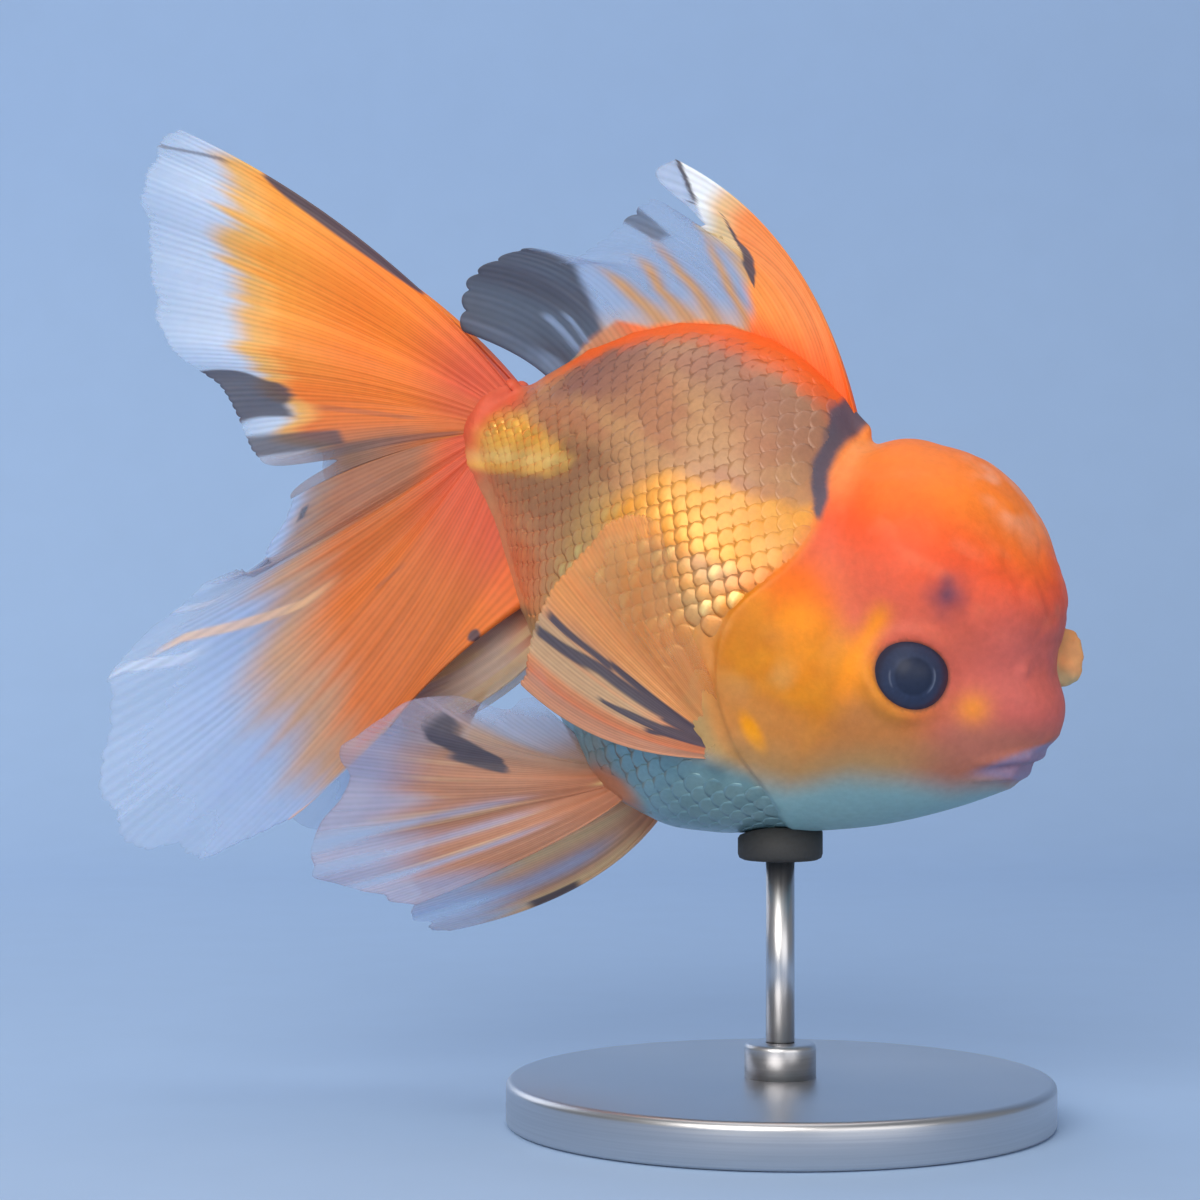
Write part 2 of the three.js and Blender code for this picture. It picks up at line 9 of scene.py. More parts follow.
import bpy
import numpy as np
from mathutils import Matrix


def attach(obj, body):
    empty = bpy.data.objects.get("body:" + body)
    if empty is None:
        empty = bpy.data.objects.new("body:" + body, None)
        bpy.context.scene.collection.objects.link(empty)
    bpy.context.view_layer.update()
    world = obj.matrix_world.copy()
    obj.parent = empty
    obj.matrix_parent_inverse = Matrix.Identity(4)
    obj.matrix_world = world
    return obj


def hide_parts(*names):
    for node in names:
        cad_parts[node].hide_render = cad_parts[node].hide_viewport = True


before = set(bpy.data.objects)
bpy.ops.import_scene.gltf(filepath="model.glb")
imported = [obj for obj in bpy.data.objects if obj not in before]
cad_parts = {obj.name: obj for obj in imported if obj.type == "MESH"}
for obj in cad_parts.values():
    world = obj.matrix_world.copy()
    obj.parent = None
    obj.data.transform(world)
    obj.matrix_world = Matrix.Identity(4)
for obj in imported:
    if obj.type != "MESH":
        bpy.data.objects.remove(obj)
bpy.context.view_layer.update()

# ---- the sizes that the solids have
NOSE_DOWN = 29.9
TURNED = 20
FISH_PLACE = (-43.9, 16, 105.6)
BASE_RADIUS = 42
BASE_HEIGHT = 7
BASE_EDGE = 1.2
COLLAR_RADIUS = 5.5
COLLAR_HEIGHT = 5
ROD_RADIUS = 2.2
ROD_TOP = 40
CUP_RADIUS = 6.5
CUP_RIM = 50
GAP = 0.3

STATION = [-9, 0, 6, 14, 24, 36, 46, 54, 62, 72, 84, 93, 99.5]
BACK = [3, 9.5, 17.2, 26.4, 32.6, 35.2, 33.2, 28.5, 26.5, 24, 17, 10, 3]
BELLY = [-2.5, -7, -10.8, -17.6, -26, -34.8, -38.9, -38.4, -35.4, -29, -20.5, -11.8, -4]
HALF_WIDTH = [1.6, 5, 7.8, 12.5, 18, 22.3, 24, 23.8, 22.4, 19.5, 15.5, 10.5, 4]
MIDLINE = [0.5, 1, 2, 2, 1, -1, -3, -3.6, -4, -3.5, -3, -1.5, -1]
TAIL_STUB = -9.5
NOSE_CUT = 98.3
BACK_PINCH = 0.1
LOBES = [  # centre, radii, pitch, how softly it joins
    ((70.5, 0, 14.8), (20, 19.5, 20.3), 0, 5),      # the hood's crown
    ((62, 0, 18), (9.5, 14.5, 15.2), 0, 2.5),       # the hood's rear lobe
    ((81.5, 0, 15.5), (12.6, 14, 12.3), -20, 5),    # the hood's brow
    ((70, 9, -3), (17, 11, 15), 0, 5),              # cheeks
    ((91, 0, 6.3), (9, 9.6, 6.6), 0, 8),            # cushion over the lips
]
HEAD_EDGE = [  # x and z of the line where the head and gill covers end
    (51, 46), (51.5, 34), (54.5, 24), (57.5, 12), (53.8, -1), (56.5, -10.5), (63, -18), (71, -24), (76, -34),
]
GILL_FRONT = [(71, -24), (73.5, -18.5), (70.5, -9), (68, 0), (66.5, 6), (62, 10.5), (57.5, 12)]
EYE_RADIUS = 6
EYE_AT = (79.3, 14.8, 3.6)
MOUTH_CENTRE = (88, -8.2)
MOUTH_TILT = 37
MOUTH_LINE = -0.45
UPPER_LIP = dict(lift=0.9, spread=54, radius=1.4)
LOWER_LIP = dict(lift=-1.95, spread=46, radius=1.25)
FLAP_RIGHT = ((92, -7.6, 12), (2.2, 1.8, 2.8), 20)
FLAP_LEFT = ((94.2, 7.6, 14.8), (3.4, 2, 4.8), 28)

# Each fin's rays: root, middle and tip, with y measured outwards.
DORSAL = [
    [(51.9, 0, 29.2), (30.2, 0.4, 46.6), (6.1, 1, 52)],
    [(46, 0, 30.5), (30, 0.6, 43.5), (11.9, 1.2, 43.8)],
    [(38, 0, 32.5), (22.5, 0.8, 41.5), (4.7, 1.5, 44.9)],
    [(30, 0, 33), (16, 0.8, 38.5), (0.6, 1.6, 35.6)],
    [(22, 0, 30.5), (9, 0.6, 34.5), (-3.6, 1.6, 29.4)],
    [(15, 0, 25.5), (2, 0.4, 30), (-10.4, 1.4, 28.2)],
    [(9, 0, 19.5), (-3.5, 0.2, 22.5), (-16.6, 1, 20)],
    [(4.5, 0, 12), (-3.5, 0, 13), (-14, 0.6, 11.8)],
]
TAIL_UPPER = [
    [(-0.5, 2, 8.5), (-33.6, 9.4, 17.6), (-67.6, 15.8, 18.6)],
    [(-2, 2, 6.8), (-36, 10.6, 11.6), (-69, 15.7, 9.5)],
    [(-3, 2, 5), (-34, 8.6, 4), (-63.5, 14.6, -2)],
    [(-3.2, 2, 3.2), (-29, 9.2, -2), (-54, 13.1, -12.3)],
    [(-3.2, 2, 1.4), (-23, 7.2, -5.4), (-41.7, 11.2, -15.2)],
    [(-3, 2, 0), (-17, 7.2, -9.4), (-31.1, 9.9, -21.8)],
]
TAIL_LOWER = [
    [(-2.8, 2, -0.8), (-14, 6.6, -12), (-23, 9.4, -24.6)],
    [(-2.4, 2, -1.6), (-12.5, 8.4, -19), (-22.2, 10.9, -37.3)],
    [(-2, 2, -2.4), (-13.5, 8.4, -25), (-29.6, 13.7, -47.5)],
    [(-1.6, 2, -3.2), (-14, 10.6, -31), (-34, 16.9, -61.8)],
    [(-1.2, 2, -4), (-9.5, 9.8, -38), (-27.5, 19.2, -76.8)],
    [(-0.2, 2, -4.8), (-3.5, 11.8, -41), (-15.4, 19.8, -83)],
    [(2.6, 2.2, -6.4), (3.6, 10.4, -41.5), (-5.5, 18.9, -80.3)],
    [(9, 3, -10), (10, 10, -37), (4.8, 15.9, -66.9)],
    [(19.5, 5, -18.5), (14, 9.6, -33), (11.2, 12.1, -47)],
]
ANAL = [
    [(25, 2, -22), (20, 2.8, -36), (11, 4.5, -48.9)],
    [(22, 2, -20.5), (16, 3.2, -34), (7.6, 4.9, -45.5)],
    [(19, 2, -18), (13, 2.8, -30), (6, 4.1, -40)],
    [(16, 2, -15.5), (10.5, 2.6, -25), (5, 3.6, -33)],
]
PELVIC_RIGHT = [
    [(50, 8.6, -34), (42.5, 11.4, -49), (30.4, 17.7, -66.3)],
    [(49, 8.4, -34), (36.5, 14, -51.5), (20.2, 20.3, -69.9)],
    [(48, 8.2, -34), (31.5, 14, -50.5), (12.2, 21.7, -68.8)],
    [(47, 8, -34), (29.5, 15.6, -46), (10.3, 20, -56.2)],
    [(46, 7.8, -34), (28.5, 14.4, -41), (8, 20.1, -49)],
    [(44.5, 7.6, -34), (29.5, 13.6, -37), (17, 17.3, -35.5)],
]
PELVIC_LEFT = [
    [(51, 8.6, -35), (44.1, 13.7, -56.7), (23.6, 22.5, -80.3)],
    [(49.5, 8.6, -34.6), (40.5, 14.4, -55), (17.6, 24, -82)],
    [(48, 8.4, -34.2), (37, 13, -51.5), (14.5, 22.6, -76)],
    [(46.5, 8.2, -34), (33.5, 13.6, -47), (12, 22, -66)],
    [(44.5, 8, -34), (30.5, 12.4, -41.5), (12.5, 19, -53)],
]
PECTORAL_RIGHT = [
    [(61, 17.4, -21), (47.5, 24.9, -26.3), (32.6, 30.3, -25)],
    [(61.3, 17.5, -20.2), (46.6, 25.6, -21.6), (30.4, 31, -18.9)],
    [(61.6, 17.6, -19.4), (46, 25, -16.4), (29.7, 31.7, -10.8)],
    [(61.9, 17.7, -18.6), (46.4, 26.4, -11), (31.3, 32.4, -2.3)],
    [(62.2, 17.8, -17.8), (47.8, 26.4, -6.6), (34.4, 33.1, 5.3)],
    [(62.5, 17.9, -17), (50, 27, -5), (40, 31.8, 7)],
]
LEFT_TAIL = dict(scale=0.9, swing=-6)
LEFT_PECTORAL = dict(scale=1, swing=-8)
RIGHT = -1
LEFT = 1

# ---- what only the looks need
SKIN_GRID = 0.52            # size of the cells that the skin is meshed in
SKIN_BOX = [(TAIL_STUB - 2, 104), (-28, 28), (-42, 41)]     # the x, y and z that those cells fill
SKIN_REACH = 9.0            # how far from the plain body the skin's details can lie
COAT_DEPTH = 0.35           # how far the skin lies inside the solids under the scales
SCALE_RELIEF = 0.34         # how far a scale's rear edge stands off the skin
SCALE_THICKNESS = 0.14
BAKE_PATCH = 0.003          # width of each scale's patch on its UV map
GAZE = (0.36, 0.92, 0.16)   # the way that the eye looks out of the head
LONGEST_CAST = 60.0         # longer than any line from the body's middle to its surface
MM = 0.001


# ---- small maths
def ramp(low, high, value):
    """0 up to low, 1 from high on, easing between. It falls instead where low is the larger."""
    t = np.clip((np.asarray(value, float) - low) / (high - low), 0, 1)
    return t * t * (3 - 2 * t)


def bell(value, centre, width):
    """1 at the centre, fading to both sides."""
    return np.exp(-((value - centre) / width) ** 2)


def plateau(value, low, full, still_full, high):
    """1 between two borders, easing to 0 on both sides."""
    return ramp(low, full, value) * ramp(high, still_full, value)


def mix(a, b, share):
    """Blends two colours (or fields of colours) by a share for each point."""
    share = np.asarray(share)[..., None]
    return a * (1 - share) + b * share


def painted(colour, *layers):
    """The colour with layers laid over it in turn: each a colour and how much of it shows."""
    for paint, share in layers:
        colour = mix(colour, paint, share)
    return colour


def srgb(red, green, blue):
    """An 8-bit screen colour as the linear one that a shader works in."""
    c = np.array([red, green, blue]) / 255
    return np.where(c <= 0.04045, c / 12.92, ((c + 0.055) / 1.055) ** 2.4)


def hashed(cells, seed):
    """A number from 0 to 1 for each lattice cell, always the same."""
    n = cells.astype(np.int64)
    h = n[..., 0] * 73856093 ^ n[..., 1] * 19349663 ^ n[..., 2] * 83492791 ^ seed * 9781
    h = ((h ^ (h >> 13)) * 1274126177) & 0xFFFFFFFF
    h = ((h ^ (h >> 16)) * 668265263) & 0xFFFFFFFF
    return ((h ^ (h >> 15)) & 0xFFFFFF) / 0xFFFFFF


def noise(points, size, seed=0):
    """Smooth noise from 0 to 1, with features of about that size."""
    at = np.asarray(points, float) / size
    cell = np.floor(at)
    w = at - cell
    w = w * w * (3 - 2 * w)
    total = 0
    for corner in np.ndindex(2, 2, 2):
        c = np.array(corner)
        weight = np.prod(np.where(c == 1, w, 1 - w), axis=-1)
        total = total + weight * hashed(cell + c, seed)
    return total


def cell_edges(points, size, seed=0):
    """How near each point is to the border between two rounded cells: 1 on it, 0 in a cell's middle."""
    at = np.asarray(points, float) / size
    cell = np.floor(at)
    nearest = np.full(at.shape[:-1], 9.0)
    second = nearest.copy()
    for offset in np.ndindex(3, 3, 3):
        c = cell + np.array(offset) - 1
        middle = c + np.stack([hashed(c, seed + k) for k in range(3)], -1)
        d = np.linalg.norm(at - middle, axis=-1)
        second = np.minimum(second, np.maximum(nearest, d))
        nearest = np.minimum(nearest, d)
    return 1 - ramp(0, 0.45, second - nearest)


def spline(points, s):
    """A smooth curve through points in order, at shares s from 0 to 1."""
    points = np.asarray(points, float)
    last = len(points) - 1
    ends = [2 * points[0] - points[1], *points, 2 * points[-1] - points[-2]]
    padded = np.array(ends)
    at = np.asarray(s, float) * last
    i = np.clip(np.floor(at).astype(int), 0, last - 1)
    w = (at - i)[..., None]
    a, b, c, d = (padded[i + k] for k in range(4))
    square = 2 * a - 5 * b + 4 * c - d
    cube = 3 * b - a - 3 * c + d
    return 0.5 * (2 * b + (c - a) * w + square * w ** 2 + cube * w ** 3)


def station_curve(values):
    """A smooth curve through the stations that never overshoots them."""
    x = np.array(STATION, float)
    v = np.array(values, float)
    width = np.diff(x)
    slope = np.diff(v) / width
    tangent = np.empty(len(x))
    tangent[0] = slope[0]
    tangent[-1] = slope[-1]
    for i in range(1, len(x) - 1):
        before = 2 * width[i] + width[i - 1]
        after = width[i] + 2 * width[i - 1]
        turns = slope[i - 1] * slope[i] <= 0
        tangent[i] = 0 if turns else (before + after) / (before / slope[i - 1] + after / slope[i])

    def curve(at):
        at = np.clip(at, x[0], x[-1])
        i = np.clip(np.searchsorted(x, at, side="right") - 1, 0, len(x) - 2)
        h = width[i]
        t = (at - x[i]) / h
        return ((1 + 2 * t) * (1 - t) ** 2 * v[i] + t * (1 - t) ** 2 * h * tangent[i]
                + t * t * (3 - 2 * t) * v[i + 1] + t * t * (t - 1) * h * tangent[i + 1])

    return curve


back = station_curve(BACK)
belly = station_curve(BELLY)
half_width = station_curve(HALF_WIDTH)
midline = station_curve(MIDLINE)


def turning():
    """The turn that puts the fish nose down and to its right."""
    p = math.radians(NOSE_DOWN)
    q = math.radians(TURNED)
    dip = np.array([[math.cos(p), 0, math.sin(p)], [0, 1, 0], [-math.sin(p), 0, math.cos(p)]])
    turn = np.array([[math.cos(q), math.sin(q), 0], [-math.sin(q), math.cos(q), 0], [0, 0, 1]])
    return turn @ dip


FISH_TURN = turning()


def to_row(points):
    """Points of the fish, in metres in the model's frame."""
    return (np.asarray(points) @ FISH_TURN.T + FISH_PLACE) * MM


def from_row(points):
    """Points of the model's frame, in millimetres, in the fish's own frame."""
    return (np.asarray(points) - FISH_PLACE) @ FISH_TURN


# ---- the body as a field of distances
def smooth_union(a, b, k):
    h = np.maximum(k - np.abs(a - b), 0) / k
    return np.minimum(a, b) - h * h * h * k / 6


def ellipsoid(x, y, z, centre, radii, pitch):
    turn = math.radians(pitch)
    dx = x - centre[0]
    dy = y - centre[1]
    dz = z - centre[2]
    along = dx * math.cos(turn) + dz * math.sin(turn)
    up = dz * math.cos(turn) - dx * math.sin(turn)
    rx, ry, rz = radii
    near = np.sqrt((along / rx) ** 2 + (dy / ry) ** 2 + (up / rz) ** 2)
    steep = np.sqrt((along / rx ** 2) ** 2 + (dy / ry ** 2) ** 2 + (up / rz ** 2) ** 2)
    return near * (near - 1) / np.maximum(steep, 1e-6)


def loft(x, y, z):
    middle = midline(x)
    rise = np.where(z > middle, back(x) - middle, middle - belly(x))
    share = (z - middle) / rise
    half = half_width(x) * (1 - BACK_PINCH * np.clip(share, 0, 1) ** 2)
    near = np.sqrt((y / half) ** 2 + share ** 2)
    steep = np.sqrt((y / half ** 2) ** 2 + ((z - middle) / rise ** 2) ** 2)
    side = near * (near - 1) / np.maximum(steep, 1e-6)
    return np.maximum(np.maximum(side, x - NOSE_CUT), TAIL_STUB - x)


def body(x, y, z):
    """About the distance to the fish's plain body, negative inside it."""
    side = np.abs(y)
    distance = loft(x, side, z)
    for centre, radii, pitch, blend in LOBES:
        distance = smooth_union(distance, ellipsoid(x, side, z, centre, radii, pitch), blend)
    return distance


def gradient(field, points, step=0.05):
    g = np.empty_like(points)
    for axis in range(3):
        shift = np.zeros(3)
        shift[axis] = step
        g[:, axis] = field(*(points + shift).T) - field(*(points - shift).T)
    return g / (2 * step)


def unit(v):
    return v / np.maximum(np.linalg.norm(v, axis=-1, keepdims=True), 1e-9)


def settle(field, points, level=0.0, rounds=3):
    """Moves points along the field's gradient until they lie at the level. Gives them and their normals."""
    for _ in range(rounds):
        g = gradient(field, points)
        square = np.maximum(np.sum(g * g, axis=1), 0.05)
        step = (field(*points.T) - level) / square
        points = points - np.clip(step, -1, 1)[:, None] * g
    return points, unit(gradient(field, points))


def core_height(x):
    return midline(x) * 0.6


def cast(centres, directions, level=0.0):
    """Finds where lines from inside the body meet the surface at the level, by halving."""
    near = np.zeros(len(centres))
    far = np.full(len(centres), LONGEST_CAST)
    for _ in range(26):
        half = (near + far) / 2
        inside = body(*(centres + half[:, None] * directions).T) < level
        near = np.where(inside, half, near)
        far = np.where(inside, far, half)
    return centres + far[:, None] * directions


EDGE_LINE = spline(HEAD_EDGE, np.linspace(0, 1, 160))
GILL_LINE = spline(GILL_FRONT, np.linspace(0, 1, 120))


def ahead_of_edge(x, z):
    """How far a point lies ahead of the line where the head and gill covers end."""
    return x - np.interp(z, EDGE_LINE[::-1, 1], EDGE_LINE[::-1, 0])


def ahead_of_gill(x, z):
    """How far a point lies ahead of the gill cover's front."""
    return x - np.interp(z, GILL_LINE[:, 1], GILL_LINE[:, 0])


# ---- fins as surfaces of s and t
def fin_point(rays, side, s, t):
    """The fin's middle sheet: s runs across its rays, t from root to tip."""
    table = np.array(rays, float) * (1, side, 1)
    root, middle, tip = (spline(table[:, k], s) for k in range(3))
    bend = 2 * middle - (root + tip) / 2
    t = np.asarray(t)[..., None]
    return root * (1 - t) ** 2 + bend * 2 * t * (1 - t) + tip * t ** 2


def swung(rays, scale, swing):
    """The same fin for the other side, shorter and swung down about its roots."""
    turn = math.radians(swing)
    turned = []
    for root, *others in rays:
        ray = [root]
        for x, y, z in others:
            dx = (x - root[0]) * scale
            dz = (z - root[2]) * scale
            ray.append((root[0] + dx * math.cos(turn) + dz * math.sin(turn),
                        root[1] + (y - root[1]) * scale,
                        root[2] - dx * math.sin(turn) + dz * math.cos(turn)))
        turned.append(ray)
    return turned


TAIL_UPPER_LEFT = swung(TAIL_UPPER, **LEFT_TAIL)
TAIL_LOWER_LEFT = swung(TAIL_LOWER, **LEFT_TAIL)
PECTORAL_LEFT = swung(PECTORAL_RIGHT, **LEFT_PECTORAL)


# ---- the skin's own shape
def rope(x, y, z, path, radii, k):
    """Distance to a chain of rounded links along a path."""
    distance = None
    for (a, b), (ra, rb) in zip(zip(path[:-1], path[1:]), zip(radii[:-1], radii[1:])):
        ab = b - a
        t = ((x - a[0]) * ab[0] + (y - a[1]) * ab[1] + (z - a[2]) * ab[2]) / (ab @ ab)
        t = np.clip(t, 0, 1)
        d = np.sqrt((x - a[0] - t * ab[0]) ** 2 + (y - a[1] - t * ab[1]) ** 2 + (z - a[2] - t * ab[2]) ** 2)
        d = d - (ra + (rb - ra) * t)
        distance = d if distance is None else smooth_union(distance, d, k)
    return distance


def lip_path(lip, count=17):
    """The bow that a lip follows round the snout, and its thickness along it."""
    tilt = math.radians(MOUTH_TILT)
    share = np.linspace(-1, 1, count)
    turn = np.radians(lip["spread"]) * share
    centre = np.array([MOUTH_CENTRE[0], 0, MOUTH_CENTRE[1] + lip["lift"]])
    way = np.stack([np.cos(turn) * math.cos(tilt), np.sin(turn), np.cos(turn) * math.sin(tilt)], 1)
    path = cast(np.tile(centre, (count, 1)), way, -0.45)
    return path, 0.85 * lip["radius"] * np.sqrt(1.12 - share ** 2)


UPPER_BOW = lip_path(UPPER_LIP)
LOWER_BOW = lip_path(LOWER_LIP)


def fin_roots():
    """Fleshy ridges that the fins grow from: a path, a thickness and how softly it joins the body."""
    s = np.linspace(0, 1, 9)
    roots = [(fin_point(DORSAL, RIGHT, s, np.full(9, 0.01)), 1.5, 3.2)]
    for rays, side, radius in [
        (TAIL_UPPER, RIGHT, 1.1), (TAIL_UPPER_LEFT, LEFT, 1.1), (TAIL_LOWER, RIGHT, 1.1),
        (TAIL_LOWER_LEFT, LEFT, 1.1), (ANAL, RIGHT, 1.2), (ANAL, LEFT, 1.2), (PELVIC_RIGHT, RIGHT, 1.9),
        (PELVIC_LEFT, LEFT, 1.9), (PECTORAL_RIGHT, RIGHT, 1.5), (PECTORAL_LEFT, LEFT, 1.5),
    ]:
        roots.append((fin_point(rays, side, s, np.full(9, 0.01)), radius, 3.2))
    return roots


FIN_ROOTS = fin_roots()


def near_only(points, low, high, field, distance):
    """Runs field on the points inside a box, and keeps distance elsewhere."""
    inside = np.all((points > low) & (points < high), axis=1)
    if inside.any():
        distance[inside] = field(*points[inside].T, distance[inside])
    return distance


def skin(x, y, z):
    """About the distance to the finished skin: body, lips, flaps, fin roots, sockets and gill edges."""
    points = np.stack([x, y, z], 1)
    distance = body(x, y, z)
    ahead = ahead_of_edge(x, z)
    distance = distance + COAT_DEPTH * (1 - ramp(-0.4, 0.2, ahead))
    rim = ramp(-0.3, 0.5, ahead) * np.exp(-np.maximum(ahead, 0) / 3)
    distance = distance - 0.25 * rim * ramp(16, 8, z)
    crease = bell(ahead_of_gill(x, z), 0, 1.6) * plateau(z, -24, -16, 3, 10)
    distance = distance + 0.16 * crease

    def roots(px, py, pz, d):
        for path, radius, k in FIN_ROOTS:
            low = path.min(0) - 8
            high = path.max(0) + 8
            here = np.stack([px, py, pz], 1)
            d = near_only(here, low, high, lambda a, b, c, e: smooth_union(
                e, rope(a, b, c, path, [radius] * len(path), 0.8), k), d)
        return d

    distance = roots(x, y, z, distance)

    def orbit(px, py, pz, d):
        across, up = from_gaze(np.stack([px, py, pz], 1))
        level = (up / np.maximum(across, 0.1)) ** 2
        lids = level * (1 + 0.2 * ramp(1, -1, up)) * bell(across, 5.6, 1.5)
        return d - 0.2 * bell(across, EYE_RADIUS + 0.6, 1.0) - 0.95 * lids

    distance = near_only(points, (66, -30, -9), (92, 30, 16), orbit, distance)

    def snout(px, py, pz, d):
        d = smooth_union(d, closed_mouth(px, py, pz), 1.6)
        tilt = math.radians(MOUTH_TILT)
        up = (pz - MOUTH_CENTRE[1]) * math.cos(tilt) - (px - MOUTH_CENTRE[0]) * math.sin(tilt)
        gape = ramp(9.2, 7.2, np.abs(py)) * ramp(91, 94, px)
        d = d + 0.22 * bell(up, MOUTH_LINE, 0.4) * gape
        for (centre, radii, pitch), share in ((FLAP_RIGHT, 0.62), (FLAP_LEFT, 1)):
            here = np.stack([px, py, pz], 1)
            flap = ellipsoid(px, py, pz, centre, np.array(radii) * share, pitch)
            flap = flap + 0.3 * cell_edges(here, 3.1, 5)
            d = smooth_union(d, flap, 1.4)
        return d

    return near_only(points, (84, -16, -14), (106, 16, 22), snout, distance)


def closed_mouth(x, y, z):
    """The two lips, pressed together."""
    return smooth_union(rope(x, y, z, *UPPER_BOW, 0.5), rope(x, y, z, *LOWER_BOW, 0.5), 1.8)


def from_gaze(points):
    """How far points lie from the line that the nearer eye looks along, and how much of that is upwards."""
    gaze = np.array(GAZE) / np.linalg.norm(GAZE)
    rel = points * (1, 0, 1) + np.abs(points) * (0, 1, 0) - EYE_AT
    rel = rel - (rel @ gaze)[:, None] * gaze
    upright = np.array([0, 0, 1]) - gaze[2] * gaze
    return np.linalg.norm(rel, axis=1), rel @ upright


def lobules(points):
    """How deep the fine grooves between the hood's soft growths are."""
    x, _, z = points.T
    hood = ramp(9, 17, z) * ramp(-1, 4, ahead_of_edge(x, z))
    front = 0.35 + 0.65 * ramp(66, 86, x)
    warp = points + 2.4 * (np.stack([noise(points, 5, k) for k in (31, 32, 33)], 1) - 0.5)
    grooves = cell_edges(warp, 5.4, 11)
    return hood * front * (0.17 * grooves - 0.5 * (noise(points, 6, 8) - 0.5))


# ---- colours
BACK_BROWN = srgb(188, 126, 90)
BACK_TAN = srgb(200, 146, 100)
MAUVE = srgb(150, 100, 88)
RIDGE = srgb(252, 104, 34)
GOLD = srgb(250, 160, 44)
GOLD_PALE = srgb(255, 228, 150)
OLIVE = srgb(208, 166, 104)
PEDUNCLE_GOLD = srgb(255, 178, 58)
SHADOW_BROWN = srgb(166, 118, 88)
SHADOW_TAN = srgb(222, 150, 108)
TEAL = srgb(136, 170, 174)
TEAL_DARK = srgb(116, 152, 158)
THROAT_TEAL = srgb(138, 176, 180)
TAIL_CORAL = srgb(226, 98, 66)
NAPE_BLACK = srgb(88, 84, 100)
HOOD_ORANGE = srgb(255, 130, 44)
HOOD_RED = srgb(252, 92, 42)
HOOD_PINK = srgb(214, 105, 84)
HOOD_HIGHLIGHT_AND_VEINS = srgb(255, 168, 128)
SNOUT = srgb(206, 102, 92)
AMBER = srgb(212, 124, 24)
GILL_GOLD = srgb(226, 140, 26)
GILL_DULL = srgb(204, 136, 78)
BRIGHT_ORANGE = srgb(255, 148, 4)
UNDER_EYE_SHADE = srgb(186, 120, 68)
JAW = srgb(168, 104, 86)
THROAT_OLIVE = srgb(172, 144, 100)
LIP = srgb(136, 128, 160)
LIP_PINK = srgb(150, 118, 140)
MOUTH_CREASE_SHADE = srgb(84, 50, 58)
FLAP_PEACH = srgb(238, 168, 108)
FLAP_GREY = srgb(196, 172, 128)
SMUDGE = srgb(120, 66, 84)
PEACH = srgb(190, 122, 88)
SOCKET_SHADE = srgb(96, 62, 52)
GILL_SIDE = srgb(240, 138, 44)
GILL_TOP = srgb(255, 112, 4)
GILL_STREAK = srgb(255, 160, 0)
HOOD_REAR = srgb(255, 168, 96)
CUSHION_SPOT = srgb(244, 146, 48)


def height_share(x, z):
    """-1 at the belly's edge, 0 on the midline, 1 on the back's ridge."""
    middle = midline(x)
    return np.where(z > middle, (z - middle) / (back(x) - middle), (z - middle) / (middle - belly(x)))


def below_band(x, z):
    """The depth below the upper edge of the golden band along the flank."""
    return 12.6 + 0.27 * (x - 38) - z


# Lines of (x, z) where the belly is half teal, and of (x, y) where the orange of the back ends.
BELLY_LINE = [(20, -24.5), (40, -25.5), (52, -24), (60, -21.5), (68, -20)]
RIDGE_HALF_WIDTH = [(2, 3.2), (12, 3.8), (25, 5.9), (36, 8.6), (46, 6.5)]


